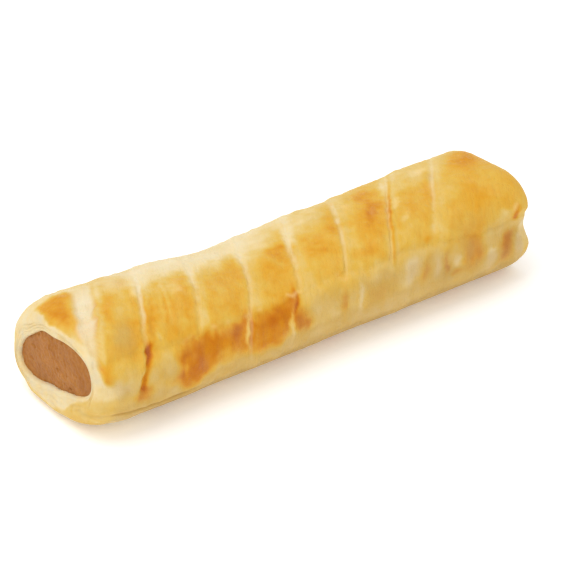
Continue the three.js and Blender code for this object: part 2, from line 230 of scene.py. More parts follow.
def lean_at(place):
    """The slant in plan of a line that crosses the middle of the roll at this place."""
    return lerp(LEAN["near"], LEAN["far"], ramp(LEAN["start"], LEAN["end"], place))


def place_of(x, y):
    """Where the slanting line through (x, y) crosses the middle: x - lean y, worked out twice."""
    return x - lean_at(x - lean_at(x) * y) * y


def across_cut(cut, x, y):
    """Signed distance from a cut's line, in plan, positive towards the far end."""
    lean = lean_at(cut["place"])
    wander = WANDER["sway"] * np.sin(y / WANDER["run"] + cut["place"])
    wander = wander + WANDER["jitter"] * noise(y, cut["place"], 3.0, size=WANDER["size"])
    bow = cut["bow"] * (1 - ((y - BOW["middle"]) / BOW["reach"]) ** 2)
    return (x - cut["place"] - lean * y - wander - np.maximum(bow, BOW["least"])) / np.hypot(1, lean)


def cut_width(cut, y):
    """Half width of a cut: wider towards the back, and uneven."""
    uneven = CUT_UNEVEN["share"] * noise(y, cut["place"], 9.0, size=CUT_UNEVEN["size"])
    return cut["open"] * (1 + CUT_TAPER * y) * (1 + uneven)


def cut_strength(cut, y, z):
    """1 on top of the roll, fading down to the cut's foot on the front, and weaker over the back shoulder."""
    ease = lerp(1, BACK_EASE["share"], ramp(BACK_EASE["start"], BACK_EASE["end"], y))
    foot = lerp(cut["foot"], BACK_FOOT, ramp(0, 5, y))
    return ease * ramp(foot, foot + FOOT_RUN, z)


cut_gaps = np.diff([cut["place"] for cut in CUTS])
print(len(CUTS), "cuts, on average", round(float(cut_gaps.mean()), 1), "mm apart")

# %% Relief of the cuts
PILLOW = {"width": 5.5, "depth": 0.4}
LIPS = {"near": 0.2, "far": 0.25, "out": 1.1, "width": 0.8}
RIDGES = {"height": 0.05, "period": 0.95}


def cut_relief(x, y, z):
    """The hollow between pillows, and for each cut a trough with soft near and sharp far edge, a raised
    lip on either side, and the broken edges of the layers as fine ridges along its floor."""
    total = 0
    for cut in CUTS:
        away = across_cut(cut, x, y)
        width = cut_width(cut, y)
        soft = 0.4 + 0.25 * cut["open"]
        near_edge = ramp(-width - soft, -width + soft, away)
        trough = near_edge * (1 - ramp(width - soft / 2, width + soft / 2, away))
        lips = LIPS["near"] * bell(away + width + LIPS["out"], LIPS["width"])
        lips = lips + LIPS["far"] * bell(away - width - LIPS["out"], 0.5 + 0.3 * cut["open"])
        waver = 3 * noise(x, y, 4.0, size=2.5)
        ridges = RIDGES["height"] * np.sin(FULL_TURN * away / RIDGES["period"] + waver)
        hollow = PILLOW["depth"] * bell(away, PILLOW["width"])
        profile = cut["depth"] * (lips - trough) + trough * ridges * ramp(1, 2, width) - hollow
        total = total + cut_strength(cut, y, z) * profile
    return total * lerp(1, RELIEF_EASE["share"], ramp(RELIEF_EASE["start"], RELIEF_EASE["end"], y))


print("the deepest cut:", max(cut["depth"] for cut in CUTS), "mm")

# %% [markdown]
# ## Seams, cracks and pleats
# The sheet's outer edge is sealed along the front, just below the shoulder, where it browns most. It lies
# as a low step that gapes into a notch at the far end. Near the other end the skin has torn in a short
# crack, and a fold runs along the foot. Low on the sides the pastry has sunk into upright pleats. They could
# be sculpted by hand. Here each is a line on the side with bells across it, so a number moves the whole of
# it, and the colours further on can follow the same line.

# %% The sealed edge, the fold and the notch
SHOULDER = {"height": 26.5, "width": 1.7, "depth": 0.55}
SHOULDER_WAVES = [(1.1, 17, 0), (0.5, 6.3, 1)]  # height, run, phase
SLIT = {"below": 0.4, "width": 0.55, "depth": 0.25}
STEP = {"above": 1.3, "width": 0.9, "height": 0.22}
FOLD = {"height": (10.0, 8.0), "start": -86, "end": -56, "width": 0.9, "depth": 0.7, "out": -44}
FOLD_WAVES = {"height": 0.35, "size": 5.0}
FOLD_SWELL = {"above": 1.6, "width": 1.0, "share": 0.5}
TUCK = {"depth": 1.0, "full": -81, "out": -73}  # below the fold, the skin stands back near the end
NOTCH = {"height": 19.9, "width": 4.9, "depth": 3.4, "start": 64, "full": 82, "back": 2.0}


def fold_distance(x, z):
    """Height above the fold's line, which sinks from the near end and then runs level."""
    line = lerp(*FOLD["height"], ramp(FOLD["start"], FOLD["end"], x))
    return z - line - FOLD_WAVES["height"] * noise(x, 2.0, 0.0, size=FOLD_WAVES["size"])


def seam_relief(x, y, z):
    """On the front only: a crease at the shoulder with a slit in it and the sheet's edge as a step over it,
    a fold near the base with a swelling over it, the tuck under it, and the notch at the far end."""
    waves = sum(height * np.sin(x / run + phase) for height, run, phase in SHOULDER_WAVES)
    above = z - SHOULDER["height"] - waves - 0.5 * noise(x, 7.0, 0.0, size=3.0)
    crease = SHOULDER["depth"] * bell(above, SHOULDER["width"])
    crease = crease + SLIT["depth"] * bell(above + SLIT["below"], SLIT["width"])
    step = STEP["height"] * bell(above - STEP["above"], STEP["width"])
    fold_depth = FOLD["depth"] * (1 - ramp(FOLD["end"], FOLD["out"], x))
    fold_away = fold_distance(x, z)
    swell = FOLD_SWELL["share"] * bell(fold_away - FOLD_SWELL["above"], FOLD_SWELL["width"])
    fold = fold_depth * (bell(fold_away, FOLD["width"]) - swell)
    tuck = TUCK["depth"] * (1 - ramp(TUCK["full"], TUCK["out"], x)) * (1 - ramp(-2.0, 0.4, fold_away))
    notch_depth = NOTCH["depth"] * ramp(NOTCH["start"], NOTCH["full"], x)
    notch = notch_depth * bell(z - NOTCH["height"], NOTCH["width"])
    return np.where(y < 0, step - crease - fold - tuck - notch, 0)


print("the sealed edge is about", SHOULDER["height"], "mm up, and the fold", FOLD["height"][1])

# %% The crack
CRACK = {"foot": (-71.9, 16.0), "head": (-64.8, 28.5), "width": 0.9, "depth": 0.9, "bend": 1.5}
CRACK_COSINE = 0.85  # it leans by about 30 degrees, so this share of the distance along x is across it
FLAP = {"height": 0.45, "back": 1.7, "width": 1.0}


def crack_distance(x, z):
    """Signed distance from the crack's line, which curves from its foot to its head, and how much of the
    crack is there: 1 along it, 0 beyond its ends."""
    (foot_x, foot_z), (head_x, head_z) = CRACK["foot"], CRACK["head"]
    part = (z - foot_z) / (head_z - foot_z)
    line = lerp(foot_x, head_x, np.clip(part, 0, 1) ** CRACK["bend"]) + 0.35 * noise(z, 11.0, 0.0, size=1.6)
    there = ramp(-0.12, 0.12, part) * (1 - ramp(0.9, 1.08, part))
    return (x - line) * CRACK_COSINE, there


def crack_relief(x, y, z):
    """A gap with its near side lifted over it as a flap."""
    away, there = crack_distance(x, z)
    gap = CRACK["depth"] * bell(away, CRACK["width"])
    flap = FLAP["height"] * bell(away + FLAP["back"], FLAP["width"])
    return np.where(y < 0, there * (flap - gap), 0)


crack_length = float(np.hypot(*np.subtract(CRACK["head"], CRACK["foot"])))
print("the crack is", round(crack_length, 1), "mm long")

# %% Pleats
PLEATS = {"height": 0.36, "period": 9.6, "foot": (4, 8), "head": (20, 25)}
PLEAT_STRENGTH = {"mean": 0.55, "swing": 0.45, "run": 14.5, "phase": -0.9}
FINE_PLEATS = {"share": 0.35, "size": 1.7, "stretch": 6}


def pleat_relief(x, turn, z):
    """Upright waves along the side, gone at the foot and the shoulder. Slower waves move them to and fro
    and make them stronger and weaker, and stretched noise lays fine ones over them."""
    strength = ramp(*PLEATS["foot"], z) * (1 - ramp(*PLEATS["head"], z))
    side = np.cos(turn)
    uneven = 1.7 * np.sin(x / 11 + 3 * side) + 1.1 * np.sin(x / 4.7 + turn)
    swing = np.sin(x / PLEAT_STRENGTH["run"] + PLEAT_STRENGTH["phase"] + 2 * side)
    swell = PLEAT_STRENGTH["mean"] + PLEAT_STRENGTH["swing"] * swing
    waves = swell * np.sin(FULL_TURN * x / PLEATS["period"] + uneven)
    fine = noise(x, z / FINE_PLEATS["stretch"], np.sign(side), size=FINE_PLEATS["size"])
    return PLEATS["height"] * strength * (waves + FINE_PLEATS["share"] * fine)


print("pleats along a side: about", round(LENGTH / PLEATS["period"]))

# %% [markdown]
# ## Puffing
# Steam lifts the pastry in long soft lumps and in round blisters of every size. The large ones are where
# the solids have them. The fine ones and the wrinkles between them, which run along the cuts, are new. A
# displacement texture would scatter such bumps too, but these are summed into the radius, so that they are
# in the mesh itself and stay off the flat base.

# %% Lumps and blisters
LUMPS = [  # height, wavelength, turns round the roll, phase
    (0.14, 150, 5, 0.6), (0.14, 57, -1, 0.6), (0.21, 42, -3, 1.9), (0.15, 27, 5, 1.6),
]
BLISTERS = {"count": 46, "least": 2.4, "most": 5.2, "height": 0.13}  # radii from least to most
FINE_BLISTERS = {"count": 520, "least": 0.7, "most": 2.1, "height": 0.14}
BLISTER_AREA = {"length": LENGTH - 16, "first_turn": -0.17 * np.pi, "turns": 1.34 * np.pi}
EVEN_STEPS = (0.7548777, 0.5698403)  # the golden ratio's counterparts for spreading points over an area
GOLDEN_STEP = 0.6180340
LOOP_SLANT = 22  # a leaning loop spans this much of the roll to either side


def blister_spots(count, least, most, seed):
    """Places, turns and radii, each a multiple of its own even step, without the whole part."""
    n = np.arange(count)
    places = ((n * EVEN_STEPS[0] + 0.5 + seed) % 1 - 0.5) * BLISTER_AREA["length"]
    turns = (n * EVEN_STEPS[1] + 0.2 + seed) % 1 * BLISTER_AREA["turns"] + BLISTER_AREA["first_turn"]
    size = (n * GOLDEN_STEP + 0.31) % 1
    return zip(places, turns, lerp(least, most, size * size))


def blister_relief(x, turn, radius, kind, seed=0.0):
    """Each blister is a bell as wide as three quarters of its radius."""
    total = np.zeros(x.shape)
    rows = x.mean(axis=1)
    for place, middle, size in blister_spots(kind["count"], kind["least"], kind["most"], seed):
        near = np.abs(rows - place) < 2.5 * size + LOOP_SLANT
        along = x[near] - place
        past = turn[near] - middle
        around = np.arctan2(np.sin(past), np.cos(past)) * radius[near]
        total[near] += kind["height"] * size * bell(np.hypot(along, around), 0.75 * size)
    return total


print("blisters:", BLISTERS["count"], "large and", FINE_BLISTERS["count"], "small")

# %% Wrinkles, and all of the outside
WRINKLES = {"height": 0.14, "size": 2.2, "stretch": 6}
SKIN_GRAIN = {"height": 0.05, "size": 1.2}
BASE_FADE = (-0.75, -0.35)  # sine of the turn: below the first nothing puffs up, as the tray holds it flat


def wrinkle_relief(x, y, z, around):
    """Fine creases, long along the cuts and short across them, and a soft grain."""
    creases = hills(place_of(x, y), around / WRINKLES["stretch"], 1.0, size=WRINKLES["size"], octaves=2)
    return WRINKLES["height"] * creases + SKIN_GRAIN["height"] * noise(x, y, z, size=SKIN_GRAIN["size"])


def outer_radius(x, turn):
    """The shell's radius with all of its relief. Only the shell and the seams reach the base."""
    x, turn = np.broadcast_arrays(x, turn)
    smooth = shell_radius(x, turn)
    y, z = smooth * np.cos(turn), AXIS_HEIGHT + smooth * np.sin(turn)
    off_base = ramp(*BASE_FADE, np.sin(turn))
    waves = sum(h * np.sin(FULL_TURN * x / w + n * turn + p) for h, w, n, p in LUMPS)
    puffs = blister_relief(x, turn, smooth, BLISTERS) + blister_relief(x, turn, smooth, FINE_BLISTERS, 0.37)
    fine = wrinkle_relief(x, y, z, girth(x, turn))
    relief = cut_relief(x, y, z) + seam_relief(x, y, z) + crack_relief(x, y, z) + pleat_relief(x, turn, z)
    return smooth + relief + off_base * (waves + puffs + fine)


middle_top = outer_radius(np.zeros((1, 1)), np.full((1, 1), FULL_TURN / 4))
print("the roll is", round(AXIS_HEIGHT + float(middle_top[0, 0]), 1), "mm high at its middle")

# %% [markdown]
# ## The grid
# The mesh is a ring of loops: along the outside, over the far rim, back along the bore, and over the near
# rim. The outside's loops lean with the cuts, and stand closer where a cut crosses, so a groove one
# millimetre wide runs cleanly along the mesh instead of across it. Points are sparse under the flat base.

# %% Uneven spacing
def spread(density, low, high, count):
    """count values from low to high, closer where the density is greater: equal steps of its running sum."""
    fine = np.linspace(low, high, 4001)
    running = np.concatenate([[0], np.cumsum(density(0.5 * (fine[1:] + fine[:-1])))])
    return np.interp(np.linspace(0, running[-1], count), running, fine)


TURNS = 256
OUTER_ROWS = 298
BASE_DENSITY = 0.32


def turn_density(turn):
    """1, and less where the turn points down at the flat base."""
    return lerp(1, BASE_DENSITY, ramp(0.55, 0.9, -np.sin(turn)))


turns = spread(turn_density, 0, FULL_TURN, TURNS + 1)[:-1]
print("points round a loop:", TURNS, "and", OUTER_ROWS, "loops along the outside")

# %% The outside
RIM = {  # near end, then far end
    -1: {"along": 12, "top": 10, "side": 5, "foot": 3.2, "toe": 3.8, "lean": (2, 2, 0.8)},
    1: {"along": 8, "top": 2.5, "side": 4.2, "foot": 0.7, "toe": 0, "lean": (0, 0, 3)},
}
CUT_PACKING = {"more": 1.7, "reach": 1.8}
SQUARE_RUN = 42  # the loops turn from leaning to square over this length near each end


def outer_points(x, turn):
    """x, y and z of the outside, with nothing below the base."""
    radius = outer_radius(x, turn)
    z = np.maximum(0, AXIS_HEIGHT + radius * np.sin(turn))
    return np.stack(np.broadcast_arrays(x, radius * np.cos(turn), z), axis=-1)


def packing(x):
    """Loops stand closer at a cut: 1, and a bell more on each cut."""
    at_cuts = sum(bell(x - cut["place"], cut["open"] + CUT_PACKING["reach"]) for cut in CUTS)
    return 1 + CUT_PACKING["more"] * at_cuts


near_rim_start, far_rim_start = -HALF_LENGTH + RIM[-1]["along"], HALF_LENGTH - RIM[1]["along"]
stations = spread(packing, near_rim_start, far_rim_start, OUTER_ROWS)[:, None]
from_end = HALF_LENGTH - RIM[1]["along"] - np.abs(stations)
slant = lean_at(stations) * ramp(0, SQUARE_RUN, from_end)
outside_x = stations + slant * shell_radius(0.0, turns) * np.cos(turns)
outside = outer_points(outside_x, turns[None, :])

# %% [markdown]
# ## The cut ends
# Each end is where the roll was cut through. The outer edge has rounded over in the oven, and the wall of
# pastry shows as a cream face with the edges of its layers standing out. A small lip turns in to the meat.
# A flat cap with a bevel would look sawn. So each rim is a strip of loops of its own, from the outside in,
# and every loop is blended between the outer skin and the edge of the bore.

# %% The bore round the meat
MEAT_POWER = 2.5
MEAT = {  # near end, and all of the rest
    "half_width": (20.6, 17.8), "half_height": (8.7, 7.8), "across": (0.5, 0.8), "height": (18.2, 17.0),
    "tilt": (-13, -4),
}
MEAT_SETTLES = {"start": -78, "end": -40, "calmer": 0.6}
MEAT_WAVES = [  # share of the radius, wavelength, turns round the bar, phase
    (0.049, 400, 3, -0.79), (0.029, 500, 4, -1.34), (0.037, 350, 5, -0.72),
]
BORE_REACH = HALF_LENGTH - 7.4  # the straight part of the bore ends this far from the middle
LIP = 1.2


def bore_section(x, turn, larger=0.0, scale=1.0):
    """y and z on the bore, or on a copy of it that much larger: a tilted rounded box with slow waves."""
    settled = ramp(MEAT_SETTLES["start"], MEAT_SETTLES["end"], x)
    part = {name: lerp(*ends, settled) for name, ends in MEAT.items()}
    plain = rounded_box(part["half_width"], part["half_height"], MEAT_POWER, turn - np.radians(part["tilt"]))
    waves = sum(h * np.sin(FULL_TURN * x / w + n * turn + p) for h, w, n, p in MEAT_WAVES)
    radius = (plain * (1 + (1 - MEAT_SETTLES["calmer"] * settled) * waves) + larger) * scale
    return np.stack([part["across"] + radius * np.cos(turn), part["height"] + radius * np.sin(turn)], axis=-1)


# %% Form of the rims
LAYERS = {"height": 0.45, "count": 2.3, "wander": 0.8, "grain": 0.08}
RIM_ROWS = {-1: (18, 18, 5), 1: (14, 12, 5)}  # loops over the rounded edge, the face and the lip
MOST_ROUNDED = 0.75  # the rounded edge takes at most this share of the wall


def cut_lean(side, section):
    """How far the cut has leaned back at this y and z: more towards the top, and across to one side."""
    top, front, back = RIM[side]["lean"]
    y, z = section[..., 0], section[..., 1]
    up = np.clip(z / STATIONS[0, 2], 0, 1)
    across = np.clip(0.5 + y / (2 * STATIONS[0, 1]), 0, 1)
    gape = NOTCH["back"] * (1 - across) * bell(z - NOTCH["height"], NOTCH["width"]) if side > 0 else 0
    return (top + front * (1 - across)) * up + back * across + gape


def rounding(rim, turn):
    """How far in the rounded edge reaches: its own size at the top, the side, the foot and the toe."""
    across, up = np.cos(turn), np.sin(turn)
    toe = np.where((up < 0) & (across < 0), rim["toe"] * 4 * across**2 * up**2, 0)
    return lerp(rim["side"], np.where(up > 0, rim["top"], rim["foot"]), np.abs(up)) + toe


def layer_relief(side, part, section):
    """Edges of the layers on a cut face: waves across the wall that wander and break up round it."""
    y, z = section[..., 0], section[..., 1]
    phase = LAYERS["count"] * part + LAYERS["wander"] * noise(y, z, side, size=5.0)
    broken = 0.5 + 0.5 * noise(y, z, 5.0 + side, size=4.0)
    waves = 0.5 * LAYERS["height"] * (1 - broken * np.sin(FULL_TURN * phase))
    return waves + LAYERS["grain"] * noise(y, z, 2.0, size=0.8)


# %% Loops of the rims
def rim_rows(side):
    """Loops from the outer edge in to the bore, and for each how far it has come: 0 to 1 over the rounded
    edge, to 2 across the face, and to 3 over the lip."""
    rim = RIM[side]
    start = side * (HALF_LENGTH - rim["along"])
    outer_start = outer_points(np.full((1, 1), float(start)), turns[None, :])[0, :, 1:]
    lip_edge = bore_section(start, turns, LIP)
    wall = np.hypot(*(outer_start - lip_edge).T)
    inward = np.minimum(MOST_ROUNDED, rounding(rim, turns) / wall)
    rounds, faces, lips = RIM_ROWS[side]

    bend = (np.arange(1, rounds + 1) / rounds * np.pi / 2)[:, None]
    x = side * (HALF_LENGTH - rim["along"] * (1 - np.sin(bend)))
    outer = outer_points(x, turns[None, :])[..., 1:]
    section = lerp(outer, lip_edge, (inward * (1 - np.cos(bend)))[..., None])
    back = rim["along"] + (cut_lean(side, section) - rim["along"]) * np.sin(bend)
    edge_blocks = [(back, section, np.arange(1, rounds + 1) / rounds)]

    part = (np.arange(1, faces + 1) / faces)[:, None]
    section = lerp(outer[-1], lip_edge, lerp(inward, 1, part)[..., None])
    fade = ramp(0, 0.15, part)
    back = cut_lean(side, section) + fade * layer_relief(side, part, section)
    edge_blocks.append((back, section, 1 + part[:, 0]))

    bend = (np.arange(1, lips + 1) / lips * np.pi / 2)[:, None]
    section = bore_section(start, turns[None, :], LIP * (1 - np.sin(bend)))
    back = cut_lean(side, section) + 0.5 * LAYERS["height"] + LIP * (1 - np.cos(bend))
    edge_blocks.append((back, section, 2 + np.arange(1, lips + 1) / lips))

    points = [
        np.stack([side * (HALF_LENGTH - back), section[..., 0], np.maximum(0, section[..., 1])], axis=-1)
        for back, section, _ in edge_blocks
    ]
    return np.concatenate(points), np.concatenate([come for _, _, come in edge_blocks])


# %% All the loops of the pastry
far_rim, far_come = rim_rows(1)
near_rim, near_come = rim_rows(-1)
bore_x = np.linspace(BORE_REACH, -BORE_REACH, 4)[:, None]
bore_yz = bore_section(bore_x, turns[None, :])
bore = np.concatenate([np.broadcast_to(bore_x[..., None], bore_yz.shape[:2] + (1,)), bore_yz], axis=-1)
loops = np.concatenate([outside, far_rim, bore, near_rim[::-1]])
come = np.concatenate([np.zeros(OUTER_ROWS), far_come, np.full(len(bore), 3.0), near_come[::-1]])[:, None]
X, Y, Z = (loops[..., n] for n in range(3))
print("loops:", len(loops), "and triangles:", 2 * loops.shape[0] * TURNS)

# %% [markdown]
# ## From loops to a mesh
# A ring of loops closes on itself both ways, so it needs no caps: each cell between two loops and two
# turns is one four-sided face, and the last loop joins the first.

# %% Meshes from arrays
def mesh_piece(name, points, face_groups, measures):
    """A smooth-shaded object from points in millimetres, arrays of faces with the same number of corners,
    and named numbers for each point."""
    mesh = bpy.data.meshes.new(name)
    mesh.vertices.add(len(points))
    mesh.vertices.foreach_set("co", (points * MM).astype(np.float32).ravel())
    corners = np.concatenate([faces.ravel() for faces in face_groups]).astype(np.int32)
    sizes = np.concatenate([np.full(len(faces), faces.shape[1]) for faces in face_groups])
    firsts = np.concatenate([[0], np.cumsum(sizes)[:-1]]).astype(np.int32)
    mesh.loops.add(len(corners))
    mesh.loops.foreach_set("vertex_index", corners)
    mesh.polygons.add(len(sizes))
    mesh.polygons.foreach_set("loop_start", firsts)
    mesh.polygons.foreach_set("use_smooth", np.ones(len(sizes), bool))
    mesh.update(calc_edges=True)
    for measure, values in measures.items():
        layer = mesh.attributes.new(measure, "FLOAT", "POINT")
        layer.data.foreach_set("value", values.astype(np.float32).ravel())
    piece = bpy.data.objects.new(name, mesh)
    bpy.context.scene.collection.objects.link(piece)
    print(name, "has", int((sizes - 2).sum()), "triangles")
    return piece


def cells(first, second, count):
    """The faces between the loops that start at the points first and second, facing out."""
    j = np.arange(count)
    after = (j + 1) % count
    first, second = np.asarray(first)[:, None], np.asarray(second)[:, None]
    return np.stack([first + j, first + after, second + after, second + j], axis=-1).reshape(-1, 4)


# %% [markdown]
# ## Where it is browned
# The finish of the crust is five soft masks on the mesh's points: how far it is baked, how dull, how
# blushed with peach, how far the layers are laid open, and how toasted by the tray. Painted light rides in
# them too: the bake mask holds painted shadow lines at the cuts, the crack and the fold; the dull and
# toasted masks hold painted shade low on the side and at the foot; the blush mask holds painted highlights
# at the cut edges and the sealed edge; and the laid-open mask holds a painted highlight on the crest. They
# could be painted by hand or kept in an image. Here they are worked out, in place along the roll and girth,
# because both the oven and the baker's brush work on the skin. First comes the rule: the base is browned by
# the tray, the foot and sides are pale, and the glazed top is golden. Then come the spots.

# %% Coordinates for painting
WARP = {"height": 1.5, "size": 5.0, "shift": 40}  # noise that keeps painted edges from running straight
on_roll = np.clip(X, -HALF_LENGTH, HALF_LENGTH)
place = place_of(X, Y)
around = girth(on_roll, np.broadcast_to(turns[None, :], X.shape))
full_girth = girth(on_roll, np.full_like(X, BASE_TURN - FULL_TURN))
warp = [WARP["height"] * hills(X, Y, Z + shift, size=WARP["size"]) for shift in (0, WARP["shift"])]
place_w, around_w = place + warp[0], around + warp[1]
MIDDLE_GIRTHS, MIDDLE_Y = GIRTH_TABLE[MIDDLE], section_y[MIDDLE]
print("girth of the loops:", round(float(full_girth.min()), 1), "to", round(float(full_girth.max()), 1), "mm")


def spots(rows, power=1.25):
    """The sum of soft spots. A row is x, girth, half width across the cuts, half length along them, and
    amount: amount times exp(-(squared distance)^power), on coordinates that noise has warped."""
    total = np.zeros_like(X)
    for x, at, wide, long, amount in rows:
        middle = place_of(x, np.interp(at, MIDDLE_GIRTHS, MIDDLE_Y))
        squared = ((place_w - middle) / wide) ** 2 + ((around_w - at) / long) ** 2
        total += amount * np.exp(-(squared**power))
    return total


def between(low, high, soft, v):
    """1 from low to high, with soft edges."""
    return ramp(low - soft, low + soft, v) * (1 - ramp(high - soft, high + soft, v))


# %% The rule
BAKE = {"tray": 0.52, "foot": 0.34, "near_foot": -0.2, "side": 0.06, "top": 0.14}  # the last 3 add
UP = {"foot": (17, 22), "skin": (22, 30), "side": (27, 36), "top": (38, 51)}  # girth from the base's middle
up_skin = np.minimum(around, full_girth - around)
up_w = up_skin + warp[1]
tray_brown = BAKE["tray"] + 0.16 * hills(X, Y, 3.0, size=11.0) + 0.08 * hills(X, Y, 9.0, size=2.5)
bake = lerp(tray_brown, BAKE["foot"], ramp(*UP["foot"], up_w))
near_foot = (1 - ramp(-74, -60, X)) * (1 - ramp(22, 28, around)) * ramp(5, 14, around)
bake += BAKE["near_foot"] * near_foot
bake += BAKE["side"] * ramp(*UP["side"], up_w) + BAKE["top"] * ramp(*UP["top"], up_w)
print("bake after the rule:", round(float(bake.min()), 2), "to", round(float(bake.max()), 2))

# %% Mottling
CALM_FAR_TOP = 0.5  # the wide last pillow is mottled this much less
on_skin = ramp(*UP["skin"], up_skin)
streaks = hills(place, around / 7, 6.0, size=2.4, octaves=2)
mottle = 0.06 * hills(X, Y, Z, size=8.0) + 0.05 * streaks + 0.06 * hills(X, Y, Z, size=3.4, octaves=2)
bake += on_skin * mottle * (1 - CALM_FAR_TOP * ramp(55, 66, X) * ramp(44, 50, around))

# %% Each pillow
CUT_SPACING = 20
OUTER_CUTS = (-110, 130)  # where the cuts beyond the two ends would be
PILLOW_BAKE = {"far_side": 0.08, "by_cut": -0.07}
cut_places = [OUTER_CUTS[0], *(cut["place"] for cut in CUTS), OUTER_CUTS[1]]
part_over = np.interp(place, cut_places, range(len(cut_places))) % 1
over_pillow = part_over * (1 - ramp(0.85, 0.98, part_over))
by_cut = 1 - ramp(1, 5, part_over * CUT_SPACING)
pillow_bake = PILLOW_BAKE["far_side"] * over_pillow + PILLOW_BAKE["by_cut"] * by_cut
bake += ramp(40, 50, around_w) * pillow_bake

# %% Pale crown, partly a painted highlight
CROWN = [  # place, and how much paler the crown is there
    (-80, 0.08), (-66, 0.14), (-56, 0.28), (-44, 0.36), (0, 0.34), (8, 0.29), (24, 0.13), (36, 0.05),
    (46, 0.14), (54, 0.26), (66, 0.14), (74, 0.02),
]
CROWN_GIRTH = {"front": (63, 75), "back": (95, 101), "slant": 4.5}
# the crown is paler glaze, with a painted highlight on it where the top faces the light
crown = ramp(*CROWN_GIRTH["front"], around_w - CROWN_GIRTH["slant"] * over_pillow)
crown = crown * (1 - ramp(*CROWN_GIRTH["back"], around_w))
bake -= crown * np.interp(place_w, *zip(*CROWN))

# %% Browned shoulder
BROWN_BAND = {"from": -57, "to": -10, "soft": 3.2, "top": (42, 48.5), "bake": 0.41, "uneven": 0.06}
band_low = lerp(30, 35.5, ramp(-52, -42, X)) - 3 * ramp(-37, -28, X) + 4.5 * ramp(-22, -8, X)
shoulder = ramp(-3.3, 2.9, around_w - band_low) * (1 - ramp(*BROWN_BAND["top"], around_w + 2 * streaks))
shoulder = shoulder * between(BROWN_BAND["from"], BROWN_BAND["to"], BROWN_BAND["soft"], X + warp[0])
band_noise = BROWN_BAND["uneven"] * noise(X, around / 3, 2.0, size=2.6)
bake += shoulder * (BROWN_BAND["bake"] + band_noise - 0.7 * mottle)

# %% Spots on the front half
BROWNED = [  # x, girth, half width, half length, amount
    (-68, 69, 4, 6, 0.12), (-62, 75, 3, 4, 0.06), (-79, 57, 2.4, 5, 0.02), (-82, 45.5, 3.6, 3.4, 0.34),
    (-60, 54, 2.2, 5, 0.14), (-57, 61, 2, 5.5, 0.12), (-50.5, 61, 0.9, 9, 0.11), (-46.5, 63, 0.9, 7, 0.09),
    (-53.5, 66, 0.8, 6, 0.08), (-46, 72, 3, 3, 0.12), (-55, 80, 2, 3, 0.08), (-30, 60, 4, 7, 0.05),
    (-12, 58, 4, 6, 0.05), (-3.5, 66, 3, 3, 0.14), (9, 60, 4.6, 7, 0.07), (19.5, 67, 3.4, 3.6, 0.12),
    (25, 53, 4, 6, 0.12), (31, 63, 6, 8, 0.1), (37, 71, 6, 7, 0.09), (79, 74, 9, 7, 0.21),
    (17, 62, 2.4, 6, 0.08), (33, 64, 3, 5, 0.02), (38.5, 76, 4.2, 4, 0.11), (16, 35, 3, 4, 0.02),
    (-53.5, 44, 2.6, 3.6, 0.07), (-50, 37, 2.8, 4, 0.05), (-34, 42, 2.6, 4, 0.1), (-21, 41, 6, 2.5, 0.06),
    (-10.5, 45, 1, 4, 0.24), (-57.5, 35.5, 4, 3, 0.16), (-69.5, 34, 2.2, 4, 0.14), (-8.5, 37, 3.2, 5, 0.24),
    (7, 37, 2.6, 5, 0.17), (22, 36, 5.4, 4.6, 0.1), (40.5, 37, 1.6, 4.6, 0.14), (49, 37, 1.3, 5, 0.16),
    (54, 31.5, 3.4, 1.2, 0.12), (60.5, 38, 4.6, 7.5, 0.14), (75, 32, 3.6, 6, 0.22), (60, 44, 14, 3.5, 0.08),
    (43.5, 47, 1.8, 2, 0.14), (81.5, 44, 1.3, 1.6, 0.3), (66, 54, 9, 7, 0.08), (-72, 34.5, 2, 2.6, 0.1),
]
PALE = [  # x, girth, half width, half length, amount
    (-65, 65, 2, 4, -0.1), (-74, 72, 1.4, 9, -0.08), (-48.6, 63, 0.7, 9, -0.1), (-44, 66, 1.6, 4, -0.12),
    (-55, 71, 1.4, 3, -0.16), (-58, 51, 1.8, 1.8, -0.2), (-85, 54, 2, 6, -0.16), (-79, 55, 3, 4, -0.12),
    (-79, 40, 4, 3, -0.1), (-26, 77, 7, 4, -0.12), (-36, 68, 1.6, 4, -0.12), (4, 69, 1.8, 3, -0.12),
    (45.5, 66, 1.6, 2.6, -0.12), (43, 58, 1.6, 1.6, -0.08), (48.5, 77, 1.6, 4, -0.18),
    (53, 81, 4, 3, -0.12), (65, 78, 3, 2.2, -0.1), (-53.5, 37, 0.9, 3.4, -0.09), (-13, 37, 0.9, 5, -0.17),
    (13.5, 37, 1, 5, -0.12), (34.5, 38, 3, 4.6, -0.14), (45, 37, 1.2, 5, -0.12),
    (54, 36.5, 1.8, 2.6, -0.08), (68, 32, 1.8, 4, -0.12), (82, 34, 2.4, 6, -0.12), (76.5, 45, 2, 1.5, -0.2),
    (-29.5, 41, 0.8, 5, -0.2), (-50, 52.5, 2.4, 5, -0.07), (-33.5, 54, 3, 5, -0.08),
    (-22, 71, 3, 3.4, -0.1), (-78.5, 74, 1.5, 6, -0.2),
]
SIDE_STRENGTH = (2.1, 3.0)  # how many times stronger spots are low on the side, nearer and farther
low_side = lerp(lerp(*SIDE_STRENGTH, ramp(15, 35, X)), 1, ramp(36, 46, around))
browned = spots(BROWNED)
bake += (browned + spots(PALE)) * low_side
print("spots on the front:", len(BROWNED) + len(PALE))

# %% Spots on the back half
BACK_SEED = 12
BACK_COUNT = 48
BACK_LIMITS = [(-84, 84), (93, 122), (1.5, 6), (2.5, 7), (-0.2, 0.3)]  # of each number in a row
back_draw = np.random.default_rng(BACK_SEED)
back_spots = [[back_draw.uniform(*limits) for limits in BACK_LIMITS] for _ in range(BACK_COUNT)]
bake += spots(back_spots)
print("spots on the back:", len(back_spots))
